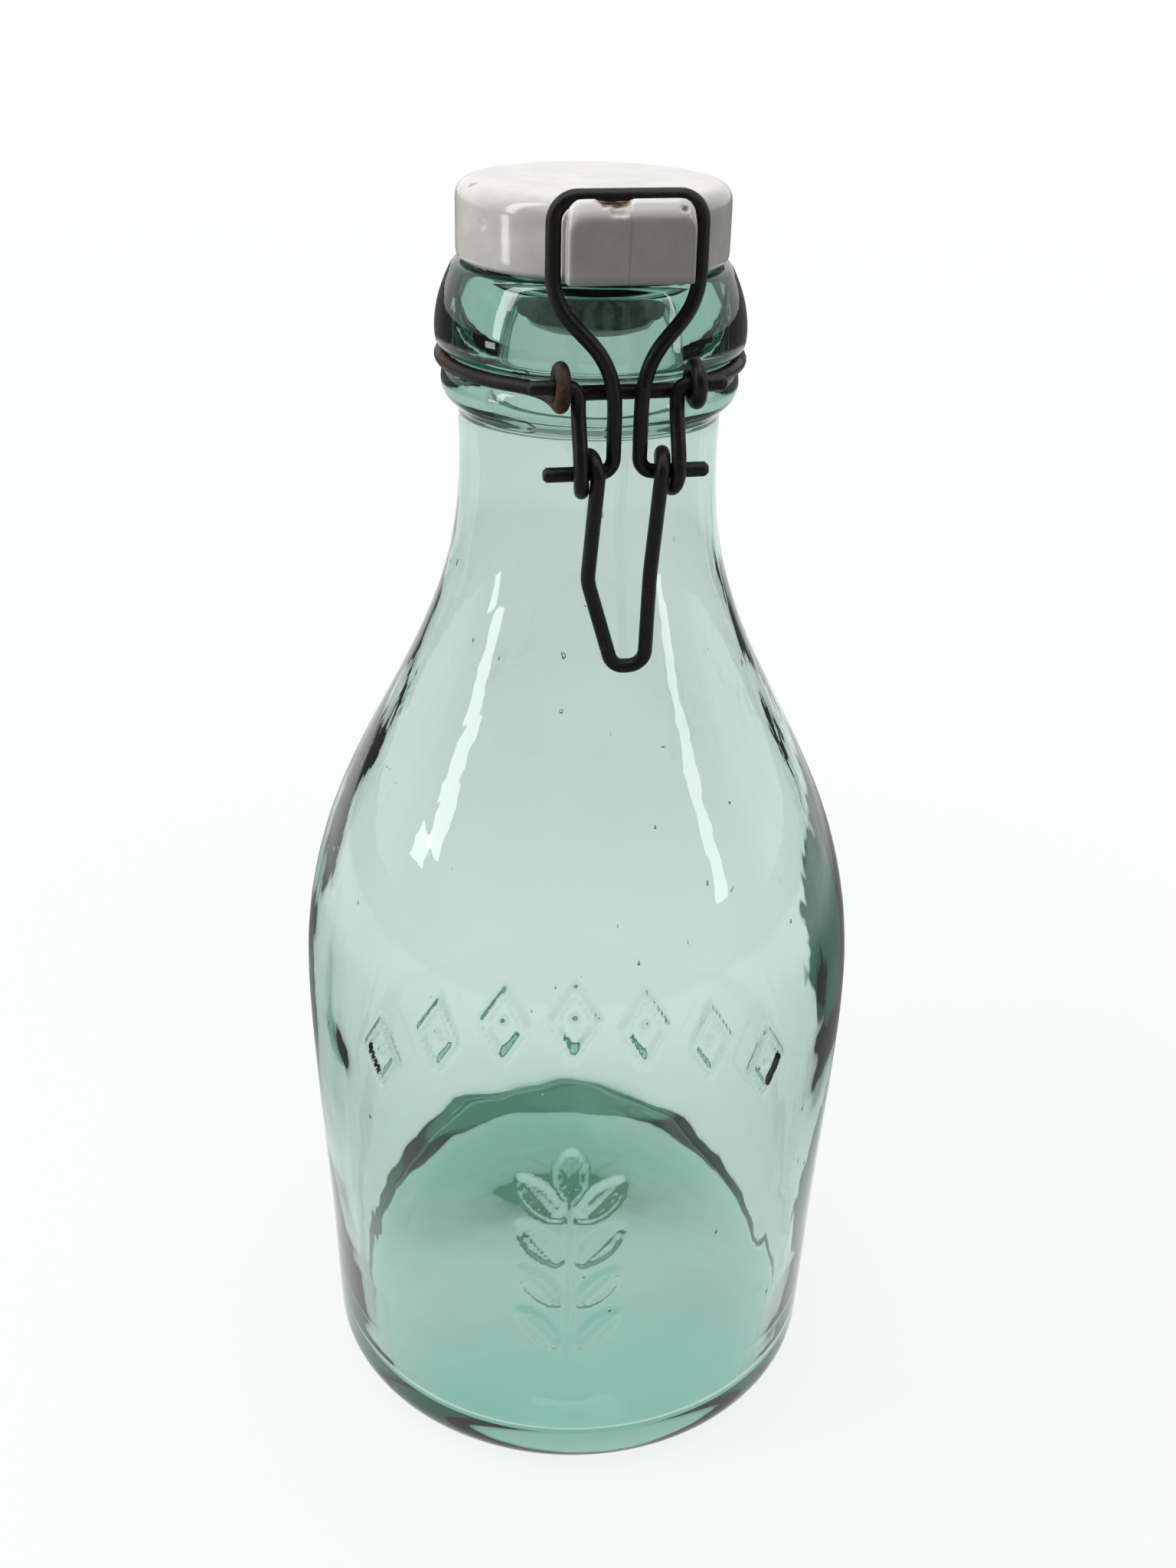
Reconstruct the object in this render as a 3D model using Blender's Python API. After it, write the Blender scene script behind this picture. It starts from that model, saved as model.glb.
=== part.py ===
"""A wide-necked glass bottle with a ceramic stopper, closed by a wire lever and bail.

Frame: the origin is the centre of the foot, +Z runs up the bottle's axis and the closure's
lever and bail are on the -Y side. Lengths are in metres.
"""

import math

import bmesh
import bpy
import numpy as np
from mathutils import Matrix, Vector

MM = 0.001

# Fits
GAP = 0.3 * MM              # between pieces that touch
PIN_GAP = 0.35 * MM         # round a pin in its eye or hole

# Glass: outside
FOOT_R = 43.9 * MM          # outer edge of the flat ring that the bottle stands on
FOOT_W = 4.4 * MM           # width of that ring
HEEL_R = 7.0 * MM           # rounding between the foot and the wall
WALL_LOW_PULL = 53.6 * MM   # the wall swells towards this radius above the heel
WALL_LOW_Z = 64.0 * MM
WALL_HIGH_PULL = 12.2 * MM  # how far below the widest point the wall is drawn straight
BODY_R = 54.36 * MM
BODY_Z = 89.5 * MM
SHOULDER_PULL = 50.6 * MM   # length of the shoulder curve's lower handle
NECK_PULL = 45.4 * MM       # length of its upper handle
NECK_R = 22.75 * MM
NECK_Z = 198.0 * MM
BEAD_PROUD = 3.0 * MM       # the rounded collar bead under the wire's groove stands out of the neck
BEAD_R = NECK_R + BEAD_PROUD
BEAD_LOW_Z = 204.4 * MM
BEAD_Z = 209.2 * MM
GROOVE_GAP = 0.3 * MM
LIP_PROUD = 0.95 * MM       # and the lip stands out of the bead
LIP_R = BEAD_R + LIP_PROUD
LIP_Z = 217.6 * MM
LIP_TAPER = 3.7 * MM
LIP_TOP_R = LIP_R - LIP_TAPER
LIP_TOP_Z = 228.8 * MM
LIP_ROUND = 1.4 * MM

# Glass: inside
WALL_T = 4.4 * MM
FLOOR_Z = 9.0 * MM
INSIDE_HEEL_R = 14.0 * MM
PUSH_UP = 4.0 * MM          # the underside rises this far inside the foot ring
NECK_INSIDE_R = 19.2 * MM
BORE_R = 16.2 * MM          # the heavy lip narrows the neck to this bore
BORE_LOW_Z = 208.5 * MM
BEVEL_LOW_Z = 224.6 * MM    # the mouth opens from the bore at this height
MOUTH_R = 18.9 * MM
MOUTH_EDGE = 0.5 * MM

# Raised pattern: an arch of lozenges over a leafy sprig, turned off the closure
PATTERN_TURN = math.radians(-12.3)
LOZENGES = 7
LOZENGE_STEP = math.radians(13.5)
ARCH_TOP_Z = 110.0 * MM
ARCH_DROP = 15.0 * MM
LOZENGE_H = 13.0 * MM
LOZENGE_W = 7.6 * MM
RELIEF = 0.8 * MM
SUNK = 1.6 * MM
SPRIG_LOW_Z = 34.0 * MM
SPRIG_TOP_Z = 84.0 * MM
LEAF_PAIRS = 4
LEAF_L = 12.0 * MM
LEAF_W = 4.6 * MM
LEAF_TILT = math.radians(38.0)

# Wires
RING_WIRE = 2.5 * MM
LEVER_WIRE = 2.5 * MM
BAIL_WIRE = 2.5 * MM
WIRE_BEND = 1.9 * MM        # radius of the sharp bends, to the wire's middle
RING_SINK = 1.1 * MM        # the wire's centre in the groove lies this far inside the lip
RING_R = LIP_R - RING_SINK
RING_Z = 213.1 * MM
RING_GRIP = (-50.0, 30.0)   # the wire lies in the groove between these angles from +X

# Stopper
LID_R = 23.0 * MM
LID_LIFT = 0.4 * MM         # the lid's underside stays this far above the lip
LID_H = 12.6 * MM
LID_LOW_Z = LIP_TOP_Z + LID_LIFT
LID_TOP_Z = LID_LOW_Z + LID_H
LID_TOP_ROUND = 2.8 * MM
LID_LOW_ROUND = 1.2 * MM
PLUG_R = 11.6 * MM
PLUG_FOOT_R = 12.5 * MM     # the plug's foot keeps the gasket from slipping off
PLUG_FOOT_H = 1.1 * MM
PLUG_LOW_Z = 217.9 * MM
PLUG_ROUND = 0.5 * MM
GASKET_R = 14.4 * MM        # the gasket's sleeve; its top flares out over the mouth's bevel
GASKET_FLARE_Z = 223.2 * MM
GASKET_ROUND = 0.7 * MM
LUG_HALF = 10.0 * MM
LUG_ASIDE = 0.5 * MM        # the front lug's middle lies this far to -X
LUG_FACE_Y = 31.5 * MM      # distance of the front lug's face from the axis
BAR_INSET = 3.9 * MM        # the bail's bar lies this far behind that face
LUG_LIFT = 1.4 * MM         # both lugs' undersides stand this far above the lid's
LUG_LOW_Z = LID_LOW_Z + LUG_LIFT
LUG_FLOOR_DROP = 0.2 * MM   # floor of the groove that holds the bail's bar, below the lid's top
LUG_FLOOR_Z = LID_TOP_Z - LUG_FLOOR_DROP
RIDGE_H = 1.8 * MM
RIDGE_TOP_Z = LUG_FLOOR_Z + RIDGE_H
RIDGE_FALL = 2.6 * MM       # the ridge slopes down this far to the front face
LUG_ROUND = 0.9 * MM
LUG_SHOULDER = 2.5 * MM     # rounding of each lug's top at its two sides
REAR_HALF = 8.7 * MM
REAR_COVER = 3.8 * MM       # from the hinge's axis to the rear lug's face
REAR_DROP = 1.4 * MM        # the rear lug's top lies this far below the lid's
REAR_TOP_Z = LID_TOP_Z - REAR_DROP
LUG_ROOT = 5.0 * MM         # how far each lug reaches into the lid
HINGE_OUT = 0.8 * MM        # the hinge's axis stands this far behind the lip
HINGE_Y = LIP_R + HINGE_OUT
REAR_FACE_Y = HINGE_Y + REAR_COVER
HINGE_LIFT = 5.8 * MM       # the hinge's axis above the lid's underside
HINGE_Z = LID_LOW_Z + HINGE_LIFT

# Lever and bail
EYE_HALF = 10.9 * MM        # from the closure's middle to each front eye of the ring
EYE_SHIFT = 0.3 * MM        # sideways drift of the ring's wire round each eye
EYE_OUT = 2.2 * MM          # the eyes' axis stands this far in front of the lip
EYE_Y = -(LIP_R + EYE_OUT)
EYE_Z = 214.8 * MM
EYE_LEAVES = 96.0           # the wire leaves the eye at this angle, just past its lowest point
LEVER_TIP = 16.0 * MM
ARM_HALF = 8.0 * MM
HANDLE_HALF = 5.2 * MM
RIGHT_KINK = (4.1 * MM, 184.2 * MM)    # where the handle's legs are bent, as (X, Z)
LEFT_KINK = (-6.4 * MM, 183.5 * MM)
LOOP_RIGHT = 3.9 * MM       # the low corners of the handle's loop
LOOP_LEFT = -1.65 * MM
LOOP_LOW_Z = 167.7 * MM
LOOP_OUT = 1.4 * MM         # the handle leans out this far from the lower pins
LOOP_ROUND = 2.7 * MM
KINK_ROUND = 7.0 * MM
BAIL_PIN_OUT = 0.3 * MM     # the lower pins' axis, in front of the upper one
BAIL_PIN_Y = EYE_Y - BAIL_PIN_OUT
BAIL_PIN_Z = 200.9 * MM
BAIL_TIP = 13.6 * MM
BAIL_PIN_BEND = 2.3 * MM    # the legs sweep out into the pins in a wider bend
BAIL_HALF = 11.6 * MM
BAR_Y = -(LUG_FACE_Y - BAR_INSET)
BAR_Z = LUG_FLOOR_Z + GAP + BAIL_WIRE / 2
BAIL_CORNER = 3.7 * MM
BAIL_LEAN = 0.5 * MM        # the bail's top stands this far to -X of its legs
LEGS_HALF = 2.15 * MM       # half the distance between the bail's legs low down
LEGS_PART_Z = 210.6 * MM    # the legs start to spread here
LEGS_TOP_RUN = 11.0 * MM    # and run straight up again over this last height
LEGS_SPREAD_Z = BAR_Z - LEGS_TOP_RUN
SPREAD_LOW_PULL = 13.4 * MM
SPREAD_HIGH_PULL = 10.4 * MM

# Rear hinge
RISER_HALF = 11.6 * MM
RISER_Z = 217.5 * MM        # the wire runs straight up from here
HINGE_TIP = 0.7 * MM        # each hinge pin stops this far from the closure's middle

# Rounding of the model
TURNS = 52                  # facets round the bottle
LID_TURNS = 44
WIRE_SIDES = 12
WIRE_STEP = 2.2 * MM        # spacing of a wire's sections on its gentle curves


def clear_scene():
    for thing in list(bpy.data.objects):
        bpy.data.objects.remove(thing, do_unlink=True)


def material(name, colour, roughness, metallic=0.0, transmission=0.0, ior=1.45):
    made = bpy.data.materials.new(name)
    made.use_nodes = True
    shader = made.node_tree.nodes["Principled BSDF"]
    shader.inputs["Base Color"].default_value = (*colour, 1.0)
    shader.inputs["Roughness"].default_value = roughness
    shader.inputs["Metallic"].default_value = metallic
    shader.inputs["Transmission Weight"].default_value = transmission
    shader.inputs["IOR"].default_value = ior
    return made


def add_object(name, bm, origin=(0.0, 0.0, 0.0), look=None, smooth=math.radians(35.0)):
    """Put a bmesh in the scene as an object whose origin is at the given point."""
    bmesh.ops.recalc_face_normals(bm, faces=bm.faces)
    mesh = bpy.data.meshes.new(name)
    bm.to_mesh(mesh)
    bm.free()
    mesh.transform(Matrix.Translation(-Vector(origin)))
    mesh.shade_smooth()
    mesh.set_sharp_from_angle(angle=smooth)
    if look:
        mesh.materials.append(look)
    thing = bpy.data.objects.new(name, mesh)
    thing.location = origin
    bpy.context.scene.collection.objects.link(thing)
    return thing


def as_guide(thing):
    thing.hide_render = True
    thing.display_type = "WIRE"
    return thing


def combine(thing, other, operation):
    cut = thing.modifiers.new(f"{operation.title()} {other.name}", "BOOLEAN")
    cut.operation = operation
    cut.solver = "EXACT"
    cut.object = as_guide(other)


def curve(start, pull_a, pull_b, end, steps):
    """Points after the start of a cubic curve, in (radius, height)."""
    corners = [np.array(p, float) for p in (start, pull_a, pull_b, end)]
    found = []
    for t in np.linspace(0.0, 1.0, steps + 1)[1:]:
        u = 1.0 - t
        weights = (u**3, 3 * u * u * t, 3 * u * t * t, t**3)
        found.append(tuple(sum(w * c for w, c in zip(weights, corners))))
    return found


def arc(centre, radius, start, end, steps):
    """Points of an arc in (radius, height), angles in degrees from the outward direction."""
    found = []
    for angle in np.radians(np.linspace(start, end, steps + 1)):
        found.append((centre[0] + radius * math.cos(angle), centre[1] + radius * math.sin(angle)))
    return found


def turned(profile, turns):
    """A body turned about Z from a profile of (radius, height) that runs from axis to axis."""
    bm = bmesh.new()
    rings = []
    for radius, height in profile:
        if radius < 1e-7:
            rings.append([bm.verts.new((0.0, 0.0, height))])
            continue
        ring = []
        for k in range(turns):
            a = 2 * math.pi * k / turns
            ring.append(bm.verts.new((radius * math.cos(a), radius * math.sin(a), height)))
        rings.append(ring)
    for low, high in zip(rings, rings[1:]):
        for k in range(turns):
            n = (k + 1) % turns
            around = [low[k % len(low)], low[n % len(low)], high[n % len(high)], high[k % len(high)]]
            bm.faces.new(list(dict.fromkeys(around)))
    return bm


def closed_ring(profile, turns):
    """A ring turned about Z from a closed profile that stays clear of the axis."""
    bm = bmesh.new()
    rings = []
    for radius, height in profile:
        ring = []
        for k in range(turns):
            a = 2 * math.pi * k / turns
            ring.append(bm.verts.new((radius * math.cos(a), radius * math.sin(a), height)))
        rings.append(ring)
    for low, high in zip(rings, rings[1:] + rings[:1]):
        for k in range(turns):
            n = (k + 1) % turns
            bm.faces.new((low[k], low[n], high[n], high[k]))
    return bm


def lug_body(outline, half_width, shoulder):
    """A solid with a (Y, Z) outline, drawn out along X, its top rounded down at both sides."""
    middle = (min(z for y, z in outline) + max(z for y, z in outline)) / 2
    bm = bmesh.new()
    sections = []
    stations = []
    for a in np.radians(np.linspace(0, 90, 5)):
        stations.append((half_width - shoulder + shoulder * math.sin(a), shoulder * (1 - math.cos(a))))
    for x, drop in [(-x, drop) for x, drop in reversed(stations)] + stations:
        section = []
        for y, z in outline:
            section.append(bm.verts.new((x, y, z - drop if z > middle else z)))
        sections.append(section)
    count = len(outline)
    bm.faces.new(sections[0])
    bm.faces.new(list(reversed(sections[-1])))
    for low, high in zip(sections, sections[1:]):
        for k in range(count):
            n = (k + 1) % count
            bm.faces.new((low[k], high[k], high[n], low[n]))
    return bm


def bridge(start, start_way, start_pull, end, end_way, end_pull):
    """A smooth run of points that leaves the start one way and arrives at the end another way."""
    a, d = Vector(start), Vector(end)
    b = a + Vector(start_way).normalized() * start_pull
    c = d - Vector(end_way).normalized() * end_pull
    steps = max(3, round((d - a).length / WIRE_STEP))
    found = []
    for k in range(steps + 1):
        t = k / steps
        u = 1.0 - t
        found.append(u**3 * a + 3 * u * u * t * b + 3 * u * t * t * c + t**3 * d)
    return found


def eye_turn(x_start, x_end, y, z, radius, start, sweep, steps):
    """One turn of wire about an axis along X. Angles in degrees: 0 faces -Y and 90 faces down."""
    found = []
    for k in range(steps + 1):
        t = k / steps
        a = math.radians(start + sweep * t)
        found.append(
            (x_start + (x_end - x_start) * t, y - radius * math.cos(a), z - radius * math.sin(a))
        )
    return found


def corner(centre, radius, start, end, steps, plane):
    """Points of a round bend. plane names the two axes that it bends in, as in 'xz'."""
    first, second = ("xyz".index(letter) for letter in plane)
    found = []
    for a in np.radians(np.linspace(start, end, steps + 1)):
        point = list(centre)
        point[first] += radius * math.cos(a)
        point[second] += radius * math.sin(a)
        found.append(tuple(point))
    return found


def wire(path, thickness):
    """A round wire along a path, with slightly eased ends."""
    path = [Vector(p) for p in path]
    ease = 0.18 * thickness
    tangents = []
    for k in range(len(path)):
        before = path[max(k - 1, 0)]
        after = path[min(k + 1, len(path) - 1)]
        tangents.append((after - before).normalized())
    side = tangents[0].orthogonal().normalized()
    rings = []
    bm = bmesh.new()
    frames = []
    for k, tangent in enumerate(tangents):
        if k:
            side = tangents[k - 1].rotation_difference(tangent) @ side
            side = (side - tangent * side.dot(tangent)).normalized()
        frames.append((path[k], side, tangent.cross(side)))
    stations = [(0, 0.0, 0.72), (0, ease, 1.0)]
    stations += [(k, 0.0, 1.0) for k in range(1, len(path) - 1)]
    stations += [(len(path) - 1, -ease, 1.0), (len(path) - 1, 0.0, 0.72)]
    for k, along, scale in stations:
        point, u, v = frames[k]
        point = point + tangents[k] * along
        ring = []
        for n in range(WIRE_SIDES):
            a = 2 * math.pi * n / WIRE_SIDES
            ring.append(
                bm.verts.new(point + (u * math.cos(a) + v * math.sin(a)) * thickness / 2 * scale)
            )
        rings.append(ring)
    for low, high in zip(rings, rings[1:]):
        for n in range(WIRE_SIDES):
            m = (n + 1) % WIRE_SIDES
            bm.faces.new((low[n], low[m], high[m], high[n]))
    bm.faces.new(list(reversed(rings[0])))
    bm.faces.new(rings[-1])
    return bm


def mirrored(points):
    return [(-x, y, z) for x, y, z in reversed(points)]


def heel_centre():
    return (FOOT_R, HEEL_R)


def outer_profile():
    """The glass outside, from the middle of the underside up to the rim."""
    ring_in = FOOT_R - FOOT_W
    profile = [(0.0, PUSH_UP), (ring_in * 0.55, PUSH_UP * 0.97), (ring_in * 0.8, PUSH_UP * 0.72)]
    profile += [(ring_in * 0.92, PUSH_UP * 0.34), (ring_in * 0.975, PUSH_UP * 0.09), (ring_in, 0.0)]
    profile += arc(heel_centre(), HEEL_R, -90, 3, 8)
    start = profile[-1]
    profile += curve(
        start,
        (WALL_LOW_PULL, WALL_LOW_Z),
        (BODY_R, BODY_Z - WALL_HIGH_PULL),
        (BODY_R, BODY_Z),
        6,
    )
    profile += curve(
        (BODY_R, BODY_Z),
        (BODY_R, BODY_Z + SHOULDER_PULL),
        (NECK_R, NECK_Z - NECK_PULL),
        (NECK_R, NECK_Z),
        15,
    )
    profile.append((NECK_R, BEAD_LOW_Z))
    bead = (BEAD_R - (BEAD_Z - BEAD_LOW_Z) * 0.62, BEAD_Z)
    across, down = BEAD_R - bead[0], (BEAD_Z - BEAD_LOW_Z) * 0.8
    for a in np.radians([-72, -48, -24, 0, 20]):
        profile.append((bead[0] + across * math.cos(a), bead[1] + down * math.sin(a)))
    groove = RING_WIRE / 2 + GROOVE_GAP
    for a in np.radians([-75, -45, -15, 15, 45, 75]):
        profile.append((RING_R - groove * math.cos(a), RING_Z + groove * math.sin(a)))
    under = LIP_Z - RING_Z - groove
    profile.append((LIP_R - 0.45 * MM, LIP_Z - under * 0.86))
    profile.append((LIP_R - 0.08 * MM, LIP_Z - under * 0.5))
    profile += [(LIP_R, LIP_Z)]
    rim = (LIP_TOP_R - LIP_ROUND * 0.3, LIP_TOP_Z - LIP_ROUND)
    top_of_side = (rim[0] + LIP_ROUND * math.cos(math.radians(28)),
                   rim[1] + LIP_ROUND * math.sin(math.radians(28)))
    side = curve(
        (LIP_R, LIP_Z),
        (LIP_R, LIP_Z + 4.6 * MM),
        (top_of_side[0] + 1.2 * MM, top_of_side[1] - 2.4 * MM),
        top_of_side,
        6,
    )
    profile += side
    profile += arc(rim, LIP_ROUND, 28, 90, 3)[1:]
    return profile


def inner_profile():
    """The glass inside, from the rim down to the middle of the floor."""
    profile = [(MOUTH_R + MOUTH_EDGE, LIP_TOP_Z), (MOUTH_R, LIP_TOP_Z - MOUTH_EDGE)]
    profile += [(BORE_R, BEVEL_LOW_Z), (BORE_R, BORE_LOW_Z)]
    narrowing = (BORE_LOW_Z - NECK_Z) / 2
    profile += curve(
        (BORE_R, BORE_LOW_Z),
        (BORE_R, BORE_LOW_Z - narrowing),
        (NECK_INSIDE_R, NECK_Z + narrowing),
        (NECK_INSIDE_R, NECK_Z - MM),
        5,
    )
    inside = BODY_R - WALL_T
    shoulder = curve(
        (inside, BODY_Z),
        (inside, BODY_Z + SHOULDER_PULL),
        (NECK_INSIDE_R, NECK_Z - NECK_PULL),
        (NECK_INSIDE_R, NECK_Z - MM),
        12,
    )
    profile += list(reversed(shoulder[:-1]))
    profile.append((inside, BODY_Z))
    low = FOOT_R + HEEL_R - WALL_T
    profile.append((0.5 * (low + inside) + 0.5 * MM, 0.5 * (FLOOR_Z + INSIDE_HEEL_R + BODY_Z)))
    heel = (low - INSIDE_HEEL_R, FLOOR_Z + INSIDE_HEEL_R)
    profile += arc(heel, INSIDE_HEEL_R, 0, -90, 8)
    profile.append((heel[0] * 0.5, FLOOR_Z + 0.6 * MM))
    profile.append((0.0, FLOOR_Z + 0.9 * MM))
    return profile


def wall_radius(height):
    """Radius of the glass outside at a height between the heel and the neck."""
    profile = outer_profile()
    for (r0, z0), (r1, z1) in zip(profile[6:], profile[7:]):
        if z0 <= height <= z1 and z1 > z0:
            return r0 + (r1 - r0) * (height - z0) / (z1 - z0)
    return BODY_R


def raised_shape(bm, turn, height, tilt, length, width, sides):
    """A low pointed shape that stands proud of the wall, with its base sunk in the glass."""
    radius = wall_radius(height)
    step = 1.0 * MM
    slope = (wall_radius(height + step) - wall_radius(height - step)) / (2 * step)
    out = Vector((math.sin(turn), -math.cos(turn), 0.0))
    up = Vector((0.0, 0.0, 1.0)) + out * slope
    up.normalize()
    across = Vector((math.cos(turn), math.sin(turn), 0.0))
    normal = across.cross(up).normalized()
    if normal.dot(out) < 0:
        normal = -normal
    middle = out * radius + Vector((0.0, 0.0, height))
    long_way = up * math.cos(tilt) + across * math.sin(tilt)
    wide_way = normal.cross(long_way)
    rim = []
    for k in range(sides):
        a = 2 * math.pi * k / sides
        reach_l = math.cos(a) * length / 2
        reach_w = math.sin(a) * width / 2
        rim.append(bm.verts.new(middle + long_way * reach_l + wide_way * reach_w - normal * 0.35 * MM))
    peak = bm.verts.new(middle + normal * RELIEF)
    root = bm.verts.new(middle - normal * SUNK)
    for k in range(sides):
        n = (k + 1) % sides
        bm.faces.new((rim[k], rim[n], peak))
        bm.faces.new((rim[n], rim[k], root))


def make_pattern():
    """The arch of lozenges and the sprig below it, as one guide for a union with the glass."""
    bm = bmesh.new()
    for k in range(LOZENGES):
        place = k - (LOZENGES - 1) / 2
        share = place / ((LOZENGES - 1) / 2)
        height = ARCH_TOP_Z - ARCH_DROP * share * share
        raised_shape(bm, PATTERN_TURN + place * LOZENGE_STEP, height, 0.0, LOZENGE_H, LOZENGE_W, 4)
    for k in range(LEAF_PAIRS):
        height = SPRIG_LOW_Z + (SPRIG_TOP_Z - SPRIG_LOW_Z) * (k + 0.5) / (LEAF_PAIRS + 0.6)
        for way in (-1, 1):
            turn = PATTERN_TURN + way * 5.6 * MM / wall_radius(height)
            raised_shape(bm, turn, height, way * LEAF_TILT, LEAF_L, LEAF_W, 6)
    raised_shape(bm, PATTERN_TURN, SPRIG_TOP_Z - LEAF_L / 2, 0.0, LEAF_L, LEAF_W, 6)
    return add_object("pattern_guide", bm)


def make_bottle(look):
    bm = turned(outer_profile() + inner_profile(), TURNS)
    bottle = add_object("bottle", bm, look=look)
    combine(bottle, make_pattern(), "UNION")
    return bottle


def lug_outline():
    """Side view of the front lug: groove floor, ridge, sloping top and face, as (Y, Z)."""
    face = -LUG_FACE_Y
    wall = BAR_Y - BAIL_WIRE / 2 - GAP
    root = -LID_R + LUG_ROOT
    return [
        (root, LUG_LOW_Z),
        (face, LUG_LOW_Z),
        (face, RIDGE_TOP_Z - RIDGE_FALL),
        (face + 0.55 * MM, RIDGE_TOP_Z - RIDGE_FALL * 0.42),
        (face + 1.3 * MM, RIDGE_TOP_Z - 0.15 * MM),
        (wall - 0.55 * MM, RIDGE_TOP_Z),
        (wall, RIDGE_TOP_Z - 0.5 * MM),
        (wall, LUG_FLOOR_Z),
        (root, LUG_FLOOR_Z),
    ]


def rear_outline():
    root = LID_R - LUG_ROOT
    return [
        (root, REAR_TOP_Z),
        (REAR_FACE_Y - 2.6 * MM, REAR_TOP_Z),
        (REAR_FACE_Y - 0.8 * MM, REAR_TOP_Z - 0.9 * MM),
        (REAR_FACE_Y, REAR_TOP_Z - 2.6 * MM),
        (REAR_FACE_Y, LUG_LOW_Z + 1.6 * MM),
        (REAR_FACE_Y - 1.6 * MM, LUG_LOW_Z),
        (root, LUG_LOW_Z),
    ]


def stopper_profile():
    foot_top = PLUG_LOW_Z + PLUG_FOOT_H
    profile = [(0.0, PLUG_LOW_Z)]
    profile += arc((PLUG_FOOT_R - PLUG_ROUND, PLUG_LOW_Z + PLUG_ROUND), PLUG_ROUND, -90, 0, 2)
    profile += [(PLUG_FOOT_R, foot_top), (PLUG_R, foot_top), (PLUG_R, LID_LOW_Z)]
    low = (LID_R - LID_LOW_ROUND, LID_LOW_Z + LID_LOW_ROUND)
    profile += arc(low, LID_LOW_ROUND, -90, 0, 3)
    high = (LID_R - LID_TOP_ROUND, LID_TOP_Z - LID_TOP_ROUND)
    profile += arc(high, LID_TOP_ROUND, 0, 90, 5)
    profile.append((0.0, LID_TOP_Z))
    return profile


def rounded_lug(name, outline, half_width, aside=0.0):
    lug = add_object(name, lug_body(outline, half_width, LUG_SHOULDER))
    lug.data.transform(Matrix.Translation((-aside, 0.0, 0.0)))
    bevel = lug.modifiers.new("Rounding", "BEVEL")
    bevel.width = LUG_ROUND
    bevel.segments = 2
    bevel.limit_method = "ANGLE"
    bevel.angle_limit = math.radians(50)
    return lug


def make_stopper(look):
    hinge = (0.0, HINGE_Y, HINGE_Z)
    stopper = add_object("stopper", turned(stopper_profile(), LID_TURNS), hinge, look)
    combine(stopper, rounded_lug("front_lug_guide", lug_outline(), LUG_HALF, LUG_ASIDE), "UNION")
    combine(stopper, rounded_lug("rear_lug_guide", rear_outline(), REAR_HALF), "UNION")
    bm = bmesh.new()
    bmesh.ops.create_cone(
        bm,
        cap_ends=True,
        segments=24,
        radius1=RING_WIRE / 2 + PIN_GAP,
        radius2=RING_WIRE / 2 + PIN_GAP,
        depth=3 * LUG_HALF,
        matrix=Matrix.Translation(hinge) @ Matrix.Rotation(math.pi / 2, 4, "Y"),
    )
    combine(stopper, add_object("hinge_hole_cutter", bm), "DIFFERENCE")
    return stopper


def make_gasket(look):
    """A rubber sleeve round the plug, whose flared top lies along the mouth's bevel."""
    low_z = PLUG_LOW_Z + PLUG_FOOT_H + GAP
    high_z = LID_LOW_Z - GAP
    inner = PLUG_R + GAP
    run = MOUTH_R - BORE_R
    rise = LIP_TOP_Z - MOUTH_EDGE - BEVEL_LOW_Z
    back = GAP * math.hypot(run, rise) / rise

    def flare(z):
        return (BORE_R + run * (z - BEVEL_LOW_Z) / rise - back, z)

    profile = [(inner, low_z), (GASKET_R - GASKET_ROUND, low_z), (GASKET_R, low_z + GASKET_ROUND)]
    profile += [(GASKET_R, GASKET_FLARE_Z), flare(BEVEL_LOW_Z + GASKET_ROUND)]
    profile += [flare(high_z - GASKET_ROUND), (flare(high_z)[0] - GASKET_ROUND, high_z)]
    profile.append((inner, high_z))
    return add_object("gasket", closed_ring(profile, LID_TURNS), (0.0, HINGE_Y, HINGE_Z), look)


def ring_half():
    """The right half of the neck ring's wire, from the closure's middle round to the hinge pin."""
    turn = LEVER_WIRE / 2 + PIN_GAP + RING_WIRE / 2
    inner_x = EYE_HALF - EYE_SHIFT / 2
    outer_x = EYE_HALF + EYE_SHIFT / 2
    back_y = EYE_Y + turn
    path = [(0.0, back_y, RING_Z)]
    path += corner((inner_x - WIRE_BEND, back_y, RING_Z + WIRE_BEND), WIRE_BEND, -90, 0, 5, "xz")
    start = 180 + math.degrees((RING_Z + WIRE_BEND - EYE_Z) / turn)
    path += eye_turn(inner_x, outer_x, EYE_Y, EYE_Z, turn, start, 360 + EYE_LEAVES - start, 16)[1:]
    grip = corner((0.0, 0.0, RING_Z), RING_R, *RING_GRIP, 10, "xy")
    leaving = Vector(path[-1]) - Vector(path[-2])
    path += bridge(path[-1], leaving, 1.6 * turn, grip[0], Vector(grip[1]) - Vector(grip[0]), 2 * turn)[1:]
    path += grip[1:]
    leaving = Vector(grip[-1]) - Vector(grip[-2])
    foot = (RISER_HALF, HINGE_Y, RISER_Z)
    path += bridge(grip[-1], leaving, 0.46 * RING_R, foot, (0, 0, 1), RISER_Z - RING_Z)[1:]
    top = (RISER_HALF - WIRE_BEND, HINGE_Y, HINGE_Z - WIRE_BEND)
    return path + corner(top, WIRE_BEND, 0, 90, 5, "xz") + [(HINGE_TIP, HINGE_Y, HINGE_Z)]


def make_neck_ring(look):
    half = ring_half()
    path = mirrored(half)[:-1] + half
    return add_object("neck_ring", wire(path, RING_WIRE), look=look)


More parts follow.
